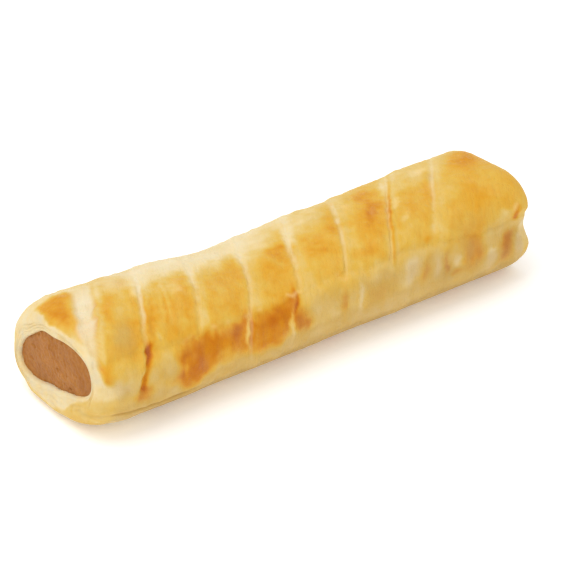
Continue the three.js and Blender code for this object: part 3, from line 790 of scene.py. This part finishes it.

# %% [markdown]
# ## Laid open, dull and blushed, with painted light
# In a cut the inner layers show, pale and matt. Along the far edge of a cut a thin dark line is painted, as
# the shadow of the lifted top sheet. On the crest the glaze is thin, so the dough shows through, and a
# painted highlight makes it paler still. The crack is browned inside, with painted shade in its gap, and a
# line of painted shade runs in the fold's crease. Skin that egg missed stays dull, and low on the side the
# dull tint is also painted shade. The thinnest edges blush peach, with painted highlights on them. Each is
# a soft shape with noise in it, and no plain texture would do, because they all follow the same lines as
# the relief does.

# %% Masks of the cuts
# the thin dark line along a cut's far edge is a painted shadow, cast by the lifted top sheet
EDGE_SHADOW_LINE = {"out": 0.5, "width": 0.35, "per_open": 0.1, "per_crease": 0.8}
PAST_LINE = {"out": 1.6, "width": 1.2, "bake": -0.06}
# peach beside the cuts: blushed edges, with painted highlights on them
CUT_BLUSH_AND_GLINT = {"back": 0.2, "width": 1.0, "amount": 0.4}


def layers_in(cut, away, width):
    """How far the layers show in a cut: 1 between its edges, of which the far one is sharper, weaker low
    down, and broken into patches by noise, though less so in a wide cut."""
    soft = 0.5 + 0.3 * cut["open"]
    far_soft = soft * lerp(0.5, 0.9, ramp(1, 3, cut["open"]))
    inside = ramp(-width - soft, -width + soft, away) * (1 - ramp(width - far_soft, width + far_soft, away))
    patchy = (0.7 + 0.7 * noise(Y, cut["place"], 15.0, size=2.0)) * lerp(0.6, 1.2, ramp(50, 70, around))
    patchy = lerp(patchy, 1, 0.7 * ramp(1.2, 2.5, cut["open"]))
    return inside * lerp(0.5, 1, ramp(28, 35.5, Z)) * np.clip(patchy, 0, 1)


def far_edge_shadow_and_fringe(cut, away, width):
    """A thin dark line on the far edge, painted as the shadow of the lifted top sheet, and paler skin
    past it, each a bell.
    """
    wide = EDGE_SHADOW_LINE["width"] + EDGE_SHADOW_LINE["per_open"] * cut["open"] + EDGE_SHADOW_LINE["per_crease"] * cut["crease"]
    line = cut["crease"] * bell(away - width - EDGE_SHADOW_LINE["out"], wide)
    return line + PAST_LINE["bake"] * cut["open"] * bell(away - width - PAST_LINE["out"], PAST_LINE["width"])


laid_open_and_sheen, blush_and_glint = np.zeros_like(X), np.zeros_like(X)
for cut in CUTS:
    away, width = across_cut(cut, X, Y), cut_width(cut, Y)
    strength = cut_strength(cut, Y, Z) * (1 - ramp(0.5, 0.9, come))
    laid_open_and_sheen = np.maximum(laid_open_and_sheen, strength * cut["pale"] * layers_in(cut, away, width))
    bake += strength * far_edge_shadow_and_fringe(cut, away, width)
    uneven = 0.5 + 0.5 * noise(Y, cut["place"], 21.0, size=7.0)
    peach = CUT_BLUSH_AND_GLINT["amount"] * bell(away + CUT_BLUSH_AND_GLINT["back"], CUT_BLUSH_AND_GLINT["width"])
    blush_and_glint += strength * (1 - cut["pale"]) * peach * uneven
print("points laid open:", int((laid_open_and_sheen > 0.5).sum()), "of", X.size)

# %% The pale crest: thin glaze over the dough, and a painted highlight
CREST = {"front": (73, 80), "back": (98, 104), "from": -62, "to": 2, "soft": 9, "open": 0.36, "uneven": 0.2}
crest = ramp(*CREST["front"], around_w) * (1 - ramp(*CREST["back"], around_w))
crest = crest * between(CREST["from"], CREST["to"], CREST["soft"], X)
crest = crest * (CREST["open"] + CREST["uneven"] * noise(X, Y, 11.0, size=4.0))
# the crest's paleness, part bare dough and part painted highlight, joins the laid-open mask
laid_open_and_sheen = np.maximum(laid_open_and_sheen, crest)

# %% Masks of the crack and the fold: the crack browned with painted shade in its gap, the fold a painted shade line
CRACK_HALO = {"past": 1.4, "width": 2.2, "amount": 0.1}
# the crack is browned, with painted shade in its gap
CRACK_BROWNING_AND_SHADE = {"past": 0.4, "width": 0.9, "amount": 0.2, "torn": 0.3}
# a darker line painted in the fold's crease, as its shade
FOLD_SHADE = {"below": 0.2, "width": 0.8, "bake": 0.2}
away, there = crack_distance(X, Z)
# the shade painted in the gap is deepest where it gapes
torn = between(23.8, 27.6, 1.8, Z) + 0.8 * between(16.4, 21.6, 1.8, Z)  # it gapes near its head and foot
halo = CRACK_HALO["amount"] * ramp(19, 27, Z) * bell(away - CRACK_HALO["past"], CRACK_HALO["width"])
crack_darkening = CRACK_BROWNING_AND_SHADE["amount"] + CRACK_BROWNING_AND_SHADE["torn"] * torn
crack_darkening = halo + crack_darkening * bell(away - CRACK_BROWNING_AND_SHADE["past"], CRACK_BROWNING_AND_SHADE["width"])
crack_browning_and_shade = np.where((Y < 0) & (come < 0.9), there * crack_darkening, 0)
fold_there = 1 - ramp(FOLD["end"], FOLD["out"], X)
fold_line = fold_there * bell(fold_distance(X, Z) + FOLD_SHADE["below"], FOLD_SHADE["width"])
fold_line = np.where((Y < 0) & (come < 1.3), fold_line, 0)
bake += crack_browning_and_shade + FOLD_SHADE["bake"] * fold_line
print("most bake in the crack:", round(float(crack_browning_and_shade.max()), 2))

# %% Dull and toasted skin, with painted shade low on the side and at the foot
DULLED = [  # x, girth, half width, half length, amount
    (-70, 55, 3.6, 6, 0.9), (-65, 65, 2, 4, 0.3), (65, 72, 2.2, 2, 0.35), (23, 36, 7, 5, 0.9),
    (6.5, 37, 2.6, 5, 0.3), (43.5, 36, 3.4, 5, 0.9), (76, 32, 3.6, 6, 0.5), (49.5, 38, 1.6, 4, 0.9),
    (54, 31, 4, 1.6, 0.9), (59, 36, 1.4, 4, 0.6), (49, 36, 1.4, 5, 0.6), (54, 31.5, 3.4, 1.4, 0.5),
    (-55, 80, 2, 3, 0.3), (20, 74, 5, 3, 0.2), (36, 38, 3, 5, 0.3), (64, 47, 9, 3, 0.35),
]
# toasted spots: browned by the tray, with painted shade low down
TOASTED_AND_SHADED = [(49, 32.5, 4, 4.5, 0.45), (-78, 38, 5, 4, 0.2), (-85, 32, 3.4, 3.4, 0.4)]
# low on the side, dull is partly matt unglazed skin and partly painted shade; along the fold, painted shade
DULL_AND_SHADED_SIDE = {"low": 0.9, "high": 0.75, "fold": 0.8}
dull = spots(DULLED) + DULL_AND_SHADED_SIDE["low"] * between(22, 33, 2, up_w)
dull += DULL_AND_SHADED_SIDE["high"] * between(33, 43, 5, up_w) + DULL_AND_SHADED_SIDE["fold"] * fold_line
dull *= (1 - shoulder) * (1 - 0.7 * ramp(0.1, 0.3, browned)) * (1 - ramp(0.05, 0.35, crack_browning_and_shade))
dull += on_skin * 0.16 * hills(X, Y, Z, size=6.0)
# toasted: browned by the tray, and painted shade along the foot, where the roll meets the table
toasted_and_shaded = (1 - ramp(21.5, 27.5, up_w)) * (0.7 + 0.3 * noise(X, Y, 8.0, size=5.0)) * ramp(-76, -60, X)
toasted_and_shaded = np.maximum(toasted_and_shaded, 0.9 * fold_line) + spots(TOASTED_AND_SHADED)

# %% Blushed skin, with painted highlights
BLUSHED_AND_GLINTS = [  # x, girth, half width, half length, amount
    (-42, 66, 2, 3.6, 0.5), (45.5, 66, 1.6, 2.6, 0.5), (43, 58, 1.6, 1.6, 0.4), (65, 78, 3, 2.2, 0.4),
    (29, 73, 1.6, 2.4, 0.5), (9.5, 45.3, 2.6, 0.7, 0.3), (81, 45.5, 1.2, 1, 0.7), (-12, 78, 1.6, 3, 0.4),
    (-56, 71, 1.4, 3, 0.5), (36, 67, 1, 3, 0.3), (-29.5, 41, 0.8, 5, 0.6), (-13, 37, 0.9, 5, 0.4),
]
# pale peach flecks along the sealed edge: flaked pastry, with painted highlights
SEAM_FLAKES_AND_GLINTS = {"girth": 46.5, "wander": 1.5, "width": 0.8, "from": -52, "to": 14, "soft": 5, "amount": 0.7}
flake_line = SEAM_FLAKES_AND_GLINTS["girth"] + SEAM_FLAKES_AND_GLINTS["wander"] * noise(X, 3.0, 0.0, size=2.0)
seam_flakes_and_glints = bell(around - flake_line, SEAM_FLAKES_AND_GLINTS["width"]) * ramp(-0.2, 0.5, noise(X, 9.0, 0.0, size=2.6))
seam_flakes_and_glints = seam_flakes_and_glints * between(SEAM_FLAKES_AND_GLINTS["from"], SEAM_FLAKES_AND_GLINTS["to"], SEAM_FLAKES_AND_GLINTS["soft"], X)
blush_and_glint += SEAM_FLAKES_AND_GLINTS["amount"] * seam_flakes_and_glints + spots(BLUSHED_AND_GLINTS) + on_skin * 0.1 * hills(X, Z, Y, size=4.0)

# %% [markdown]
# ## The cut faces
# Over each rim the glaze stops and the bare pastry starts, creamy white with a straw-coloured outer band.
# On the near end the glaze reaches over the top as far as the cut, in a bright triangle between the end and
# the first slash. How far a loop has come over its rim serves as the coordinate here, so that each border
# keeps its distance from the edge all the way round.

# %% Where the glaze stops
near_stop = lerp(lerp(0.2, 0.5, ramp(19, 24, Z)), 0.62, ramp(28, 31, Z))
far_stop = lerp(0.3, 0.95, ramp(19, 26, Z))
bare = ramp(-0.1, 0.12, come - np.where(X < 0, near_stop, far_stop) + 0.06 * hills(Y, Z, X, size=4.0))
print("points of bare pastry:", int((bare > 0.5).sum()))

# %% The bright triangle
glaze_edge = 0.87 - 0.27 * ramp(3, 13, Y) + 0.008 * np.minimum(0, Y - 2.6)
glaze_back = 12.7 - 0.12 * (X + 80) + 0.3 * warp[0]
triangle = 1 - ramp(-0.08, 0.06, come - glaze_edge + 0.04 * hills(X, Y, 5.0, size=2.5))
triangle = triangle * (1 - ramp(-82.5, -77.8, place)) * (1 - ramp(-1.8, 1.2, Y - glaze_back))
triangle = triangle * ramp(58, 66, around_w) * ramp(22, 25, Z)
print("points of the triangle:", int((triangle > 0.5).sum()))

# %% Masks of the rims
PALEST = 0.15  # glazed skin is baked at least this far
RIM_BAKE = {"back": 0.24, "bare": 0.13, "straw": 0.28, "triangle": 0.73, "edge": -0.16}
pale_back = ramp(-0.5, 2, Y - glaze_back) * (1 - ramp(-74, -62, X))
pale_back = pale_back * ramp(60, 70, around_w) * (1 - ramp(112, 120, around_w))
bake = lerp(bake, RIM_BAKE["back"] + 0.05 * hills(X, Y, Z, size=4.0), pale_back)
bake = np.maximum(bake, PALEST)
straw_reach = lerp(0.85, 1.6, ramp(6, 14, -Y))
straw = RIM_BAKE["straw"] * (1 - ramp(straw_reach, straw_reach + 0.4, come)) * (1 - ramp(12, 24, Z))
bake = lerp(bake, RIM_BAKE["bare"] + straw + 0.1 * hills(Y, Z, 8.0, size=3.0), bare)
bright = RIM_BAKE["triangle"] + RIM_BAKE["edge"] * ramp(0.5, 0.75, come) + 0.06 * hills(X, Y, Z, size=5.0)
bake = lerp(bake, np.maximum(bake, bright), triangle)
dull = lerp(dull * (1 - triangle), 0.14 + 0.16 * hills(Y, Z, 17.0, size=3.5), bare)
laid_open_and_sheen = laid_open_and_sheen * (1 - triangle)

# %% All the masks
# the bake mask also holds painted shadow lines; the dull and toasted masks painted shade low down; the blush
# mask painted highlights; the laid-open mask the crest's painted highlight
MASKS = {
    "bake": np.clip(bake, 0, 1),
    "dull": np.clip(dull, 0, 1),
    "blush_and_glint": np.clip(blush_and_glint, 0, 1),
    "laid_open_and_sheen": np.clip(laid_open_and_sheen, 0, 1),
    "toasted_and_shaded": np.clip(toasted_and_shaded * (1 - 0.6 * bare), 0, 1),
}
print("masks:", {name: round(float(mask.mean()), 2) for name, mask in MASKS.items()})

# %% The pastry
starts = np.arange(len(loops)) * TURNS
ring_faces = cells(starts, np.roll(starts, -1), TURNS)
pastry = mesh_piece("baked_pastry", loops.reshape(-1, 3), [ring_faces], MASKS)
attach(pastry, "root")
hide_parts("pastry")

# %% [markdown]
# ## The meat
# The sausage meat is minced fine, so its cut face is a matt brown field of small grains and a few pits. It
# is a bar with polar caps: loops shrink to a point in the middle of each face. One flat face with many
# corners would be simpler, but it has no points inside for the grains. The bar's skin reaches just into the
# pastry, so no gap shows round it.

# %% Loops of the meat
MEAT_TURNS = 200
MEAT_INTO_WALL = 0.25
MEAT_RECESS = 2.4
MEAT_CROWN = 0.7
MEAT_GRAINS = [(0.17, 1.25, 0), (0.11, 0.62, 9)]  # height, size, where the noise is read
MEAT_PITS = {"depth": 0.4, "size": 1.7}
MEAT_SWELL = 0.16
meat_turns = FULL_TURN * np.arange(MEAT_TURNS) / MEAT_TURNS


def meat_face(side, parts):
    """Loops over an end face, at these parts of its radius: set back from the rim, crowned towards the
    middle, with grains and pits."""
    start = side * (HALF_LENGTH - RIM[side]["along"])
    section = bore_section(start, meat_turns[None, :], MEAT_INTO_WALL, parts[:, None])
    y, z = section[..., 0], section[..., 1]
    grains = sum(height * noise(y, z, side + read, size=size) for height, size, read in MEAT_GRAINS)
    pits = MEAT_PITS["depth"] * ramp(0.62, 0.85, noise(y, z, side + 20, size=MEAT_PITS["size"]))
    swell = MEAT_SWELL * np.sin(3 * meat_turns + 9 * parts[:, None]) * parts[:, None]
    back = cut_lean(side, section) / 2 + MEAT_RECESS - MEAT_CROWN * (1 - parts[:, None] ** 3)
    back = back - swell - grains + pits
    return np.concatenate([(side * (HALF_LENGTH - back))[..., None], section], axis=-1)


face_parts = np.linspace(0, 1, 61)[1:]
meat_x = np.linspace(-BORE_REACH, BORE_REACH, 5)[:, None]
meat_yz = bore_section(meat_x, meat_turns[None, :], MEAT_INTO_WALL)
meat_side = np.concatenate([np.broadcast_to(meat_x[..., None], meat_yz.shape[:2] + (1,)), meat_yz], axis=-1)
meat_loops = np.concatenate([meat_face(-1, face_parts), meat_side, meat_face(1, face_parts)[::-1]])
tips = np.stack([meat_face(side, np.zeros(1))[0, 0] for side in (-1, 1)])

# %% The meat's mesh
meat_starts = np.arange(len(meat_loops)) * MEAT_TURNS
quads = cells(meat_starts[:-1], meat_starts[1:], MEAT_TURNS)
j = np.arange(MEAT_TURNS)
after = (j + 1) % MEAT_TURNS
first_tip, last_tip = meat_starts[-1] + MEAT_TURNS, meat_starts[-1] + MEAT_TURNS + 1
near_fan = np.stack([np.full(MEAT_TURNS, first_tip), after, j], axis=-1)
far_fan = np.stack([meat_starts[-1] + j, meat_starts[-1] + after, np.full(MEAT_TURNS, last_tip)], axis=-1)
meat_points = np.concatenate([meat_loops.reshape(-1, 3), tips])
meat = mesh_piece("sausage_meat", meat_points, [quads, near_fan, far_fan], {})
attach(meat, "root")
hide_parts("filling")

# %% [markdown]
# ## Materials
# A node graph is easier to read as sums. One small class stands for a socket: +, - and * on it add Math
# nodes, and its node method adds any other node.

# %% Sums of sockets
class Wire:
    """An output socket of a material's tree, with the operators that add Math nodes to it."""

    def __init__(self, tree, socket):
        self.tree, self.socket = tree, socket

    @classmethod
    def node(cls, tree, kind, settings=(), inputs=(), output=0):
        """A node of this type: its settings are set first, then the values or links of its sockets."""
        made = tree.nodes.new(kind)
        for name, value in dict(settings).items():
            if name == "stops":
                stops = made.color_ramp.elements  # a new ramp has two
                for n, (position, colour) in enumerate(value):
                    stop = stops[n] if n < 2 else stops.new(position)
                    stop.position, stop.color = position, colour
            else:
                setattr(made, name, value)
        for name, value in dict(inputs).items():
            if isinstance(value, Wire):
                tree.links.new(value.socket, made.inputs[name])
            else:
                made.inputs[name].default_value = value
        return cls(tree, made.outputs[output])

    def math(self, operation, first, second):
        return Wire.node(self.tree, "ShaderNodeMath", {"operation": operation}, {0: first, 1: second})

    def __add__(self, other):
        return self.math("ADD", self, other)

    def __sub__(self, other):
        return self.math("SUBTRACT", self, other)

    def __rsub__(self, other):
        return self.math("SUBTRACT", other, self)

    def __mul__(self, other):
        return self.math("MULTIPLY", self, other)

    __radd__, __rmul__ = __add__, __mul__


def srgb(red, green, blue):
    """A colour named by its 0 to 255 screen values, as the linear light that shaders use."""
    screen = np.array([red, green, blue]) / 255
    linear = np.where(screen <= 0.04045, screen / 12.92, ((screen + 0.055) / 1.055) ** 2.4)
    return (*(float(v) for v in linear), 1.0)


def mix(tree, part, first, second):
    """The first colour where part is 0, the second where it is 1."""
    settings = {"data_type": "RGBA", "clamp_factor": True}
    return Wire.node(tree, "ShaderNodeMix", settings, {0: part, 6: first, 7: second}, 2)


def new_material(name, shader_values):
    """A material with one Principled shader that has these constants, its tree, and a helper for noise
    that reads Object coordinates, with the size of its hills in millimetres."""
    material = bpy.data.materials.new(name)
    material.use_nodes = True
    tree = material.node_tree
    shader = tree.nodes["Principled BSDF"]
    for socket, value in shader_values.items():
        shader.inputs[socket].default_value = value
    where = Wire.node(tree, "ShaderNodeTexCoord", output=3)

    def grain(size, detail=2.0, stretch=(1, 1, 1), slant=0.0):
        inputs = {0: where, 2: (0, 0, slant), 3: tuple(size * MM * s for s in stretch)}
        placed = Wire.node(tree, "ShaderNodeMapping", {"vector_type": "TEXTURE"}, inputs)
        return Wire.node(tree, "ShaderNodeTexNoise", {}, {"Vector": placed, "Scale": 1.0, "Detail": detail})

    return material, tree, shader, grain


# %% [markdown]
# ## The crust
# Baking is one scale of colour, from cream dough through straw and gold to orange and brown, so the bake
# mask reads a colour ramp. The other masks tint that. Fine grain is added to the mask before the ramp, so
# that the speckles of a golden patch are golden-brown and those of a pale one straw.

# %% The crust's material
crust, tree, shader, grain = new_material("baked_crust", {
    "Subsurface Weight": 0.08, "Subsurface Radius": (1.0, 0.55, 0.25), "Subsurface Scale": 0.0015,
    "IOR": 1.45, "Specular IOR Level": 0.12, "Coat Roughness": 0.35, "Coat IOR": 1.35,
})


def mask(name):
    """The number that the mesh holds under this name."""
    return Wire.node(tree, "ShaderNodeAttribute", {"attribute_name": name}, output=2)


CUT_SLANT = float(-np.arctan(lean_at(0.0)))
flakes = grain(2.4, 3.0)
threads = grain(1.5, 2.0, (1, 6, 6), CUT_SLANT)
scales = grain(1.3, 2.0, (1, 2.2, 2.2), CUT_SLANT)
painted = {name: mask(name) for name in MASKS}
print("masks in the material:", *painted)

# %% The crust's colour
BAKING = [
    (0.0, srgb(217, 205, 172)), (0.18, srgb(227, 204, 152)), (0.36, srgb(219, 187, 110)),
    (0.52, srgb(216, 173, 70)), (0.66, srgb(214, 156, 42)), (0.8, srgb(202, 128, 15)),
    (0.92, srgb(188, 107, 8)), (1.0, srgb(172, 87, 8)),
]
# the dull and toasted tints also paint shade low down, the blush tint painted highlights, and the laid-open
# tint the crest's painted highlight
TINTS = [  # mask, how much of the tint it gives where it is 1, and the tint
    ("dull", 0.6, srgb(186, 150, 86)), ("toasted_and_shaded", 0.5, srgb(150, 116, 66)),
    ("blush_and_glint", 0.6, srgb(243, 208, 138)), ("laid_open_and_sheen", 0.85, srgb(231, 220, 192)),
]
shade = painted["bake"] + (flakes - 0.5) * 0.13 + (threads - 0.5) * 0.03 + (scales - 0.5) * 0.05
colour = Wire.node(tree, "ShaderNodeValToRGB", {"stops": BAKING}, {0: shade})
for name, most, tint in TINTS:
    colour = mix(tree, painted[name] * most, colour, tint)
tree.links.new(colour.socket, shader.inputs["Base Color"])

# %% The crust's gloss and grain
GLAZED_FROM = (0.3, 0.6)  # the bake over which the skin turns glossy
ROUGH = {"bare": 0.62, "glaze": 0.2, "uneven": 0.15}
COAT = 0.07
CRUST_BUMP = {"strength": 0.9, "distance": 0.5 * MM}
smooth_step = {"interpolation_type": "SMOOTHSTEP"}
start, end = GLAZED_FROM
glazed = Wire.node(tree, "ShaderNodeMapRange", smooth_step, {0: painted["bake"], 1: start, 2: end})
glazed = glazed * (1 - painted["laid_open_and_sheen"]) * (1 - painted["dull"] * 0.7)
rough = ROUGH["bare"] - glazed * ROUGH["glaze"] + (flakes - 0.5) * ROUGH["uneven"]
tree.links.new(rough.socket, shader.inputs["Roughness"])
tree.links.new((glazed * COAT).socket, shader.inputs["Coat Weight"])
height = flakes * 0.8 + scales * 0.6 + threads * 0.5 + grain(0.5, 2.0) * 0.3
bump_inputs = {"Strength": CRUST_BUMP["strength"], "Distance": CRUST_BUMP["distance"], "Height": height}
bump = Wire.node(tree, "ShaderNodeBump", {}, bump_inputs)
tree.links.new(bump.socket, shader.inputs["Normal"])
pastry.data.materials.append(crust)

# %% [markdown]
# ## The meat's finish
# Cooked mince is a pinkish brown, with paler grains of fat and darker ones of lean, all about half a
# millimetre to a millimetre across. It is moist, so it has a soft shine. Noise at three sizes gives the
# grains, and because it reads Object coordinates, both faces are cut from the same block.

# %% The meat's material
minced, tree, shader, grain = new_material("cooked_mince", {
    "Subsurface Weight": 0.1, "Subsurface Radius": (1.0, 0.45, 0.25), "Subsurface Scale": 0.001, "IOR": 1.4,
    "Specular IOR Level": 0.25,
})
MINCE = [
    (0.0, srgb(130, 78, 28)), (0.35, srgb(153, 94, 34)), (0.6, srgb(168, 108, 42)), (1.0, srgb(196, 138, 66)),
]
coarse, fine, slow = grain(1.1, 2.0), grain(0.45, 2.0), grain(6.0, 1.0)
tone = (coarse - 0.5) * 0.5 + (fine - 0.5) * 0.4 + (slow - 0.5) * 0.45 + 0.5
colour = Wire.node(tree, "ShaderNodeValToRGB", {"stops": MINCE}, {0: tone})
tree.links.new(colour.socket, shader.inputs["Base Color"])
tree.links.new((0.5 + (fine - 0.5) * 0.3).socket, shader.inputs["Roughness"])
bump_inputs = {"Strength": 0.5, "Distance": 0.3 * MM, "Height": coarse * 0.6 + fine * 0.3}
bump = Wire.node(tree, "ShaderNodeBump", {}, bump_inputs)
tree.links.new(bump.socket, shader.inputs["Normal"])
meat.data.materials.append(minced)

# %% [markdown]
# ## The table, the light and the camera
# The roll lies on a plain white table in soft light from every side, with a broad lamp high behind its left
# shoulder and a fill by the camera. An image of a studio could light it, but a pale world and two lamps are
# as soft and need no file. The table is only a stage, so it isn't part of the object.

# %% The table
TABLE_GLOW = 0.18  # lit from below, as a light table is, which keeps the shadow soft
TABLE_REACH = 4.0
floor_mesh = bpy.data.meshes.new("table")
corners = [(x * TABLE_REACH, y * TABLE_REACH, 0) for x, y in ((-1, -1), (1, -1), (1, 1), (-1, 1))]
floor_mesh.from_pydata(corners, [], [(0, 1, 2, 3)])
floor = bpy.data.objects.new("table", floor_mesh)
bpy.context.scene.collection.objects.link(floor)
white, tree, shader, grain = new_material("white_table", {
    "Roughness": 0.9, "Specular IOR Level": 0.2, "Emission Strength": TABLE_GLOW,
    "Emission Color": srgb(255, 255, 255),
})
white_tone = mix(tree, grain(40.0, 1.0), srgb(250, 250, 249), srgb(252, 252, 252))
tree.links.new(white_tone.socket, shader.inputs["Base Color"])
floor_mesh.materials.append(white)

# %% The light
WORLD_LIGHT = 0.86
world = bpy.data.worlds.new("studio")
bpy.context.scene.world = world
world.use_nodes = True
world.node_tree.nodes["Background"].inputs["Color"].default_value = (1, 1, 1, 1)
world.node_tree.nodes["Background"].inputs["Strength"].default_value = WORLD_LIGHT
bpy.context.scene.view_settings.view_transform = "Standard"


def direction(azimuth, elevation):
    """Unit vector from the roll: azimuth 0 is the front (-Y), 90 the far end (+X)."""
    a, e = np.radians([azimuth, elevation])
    return np.array([np.sin(a) * np.cos(e), -np.cos(a) * np.cos(e), np.sin(e)])


def aim(thing, place, target):
    """Puts a lamp or camera at a place and turns it to look at the target, with Z up."""
    thing.location = place
    thing.rotation_euler = Vector(np.subtract(target, place)).to_track_quat("-Z", "Y").to_euler()


ROLL_MIDDLE = np.array([0.00075, 0, 0.018])  # metres
LAMPS = {  # azimuth, elevation, distance, side in metres, watts
    "key": (-110, 68, 1.1, 0.9, 5.0),
    "fill": (-30, 30, 1.2, 0.9, 0.9),
}
for name, (azimuth, elevation, distance, side, watts) in LAMPS.items():
    lamp_data = bpy.data.lights.new(name, "AREA")
    lamp_data.size, lamp_data.energy = side, watts
    lamp = bpy.data.objects.new(name, lamp_data)
    bpy.context.scene.collection.objects.link(lamp)
    aim(lamp, ROLL_MIDDLE + direction(azimuth, elevation) * distance, ROLL_MIDDLE)

# %% The camera
VIEW = {"azimuth": -35.84, "elevation": 30.55, "distance": 0.9, "lens": 174.34, "sensor": 36.0}
SIGHT_OFFSET = {"right": 0.000597, "down": 0.001373}  # metres from the roll's middle to the frame's
back = direction(VIEW["azimuth"], VIEW["elevation"])
right = np.array([np.cos(np.radians(VIEW["azimuth"])), np.sin(np.radians(VIEW["azimuth"])), 0])
sight = ROLL_MIDDLE + SIGHT_OFFSET["right"] * right - SIGHT_OFFSET["down"] * np.cross(back, right)
camera_data = bpy.data.cameras.new("camera")
camera_data.lens, camera_data.sensor_width = VIEW["lens"], VIEW["sensor"]
camera = bpy.data.objects.new("camera", camera_data)
bpy.context.scene.collection.objects.link(camera)
aim(camera, ROLL_MIDDLE + back * VIEW["distance"], sight)
bpy.context.scene.camera = camera
print("camera at", [round(v, 3) for v in camera.location], "m")
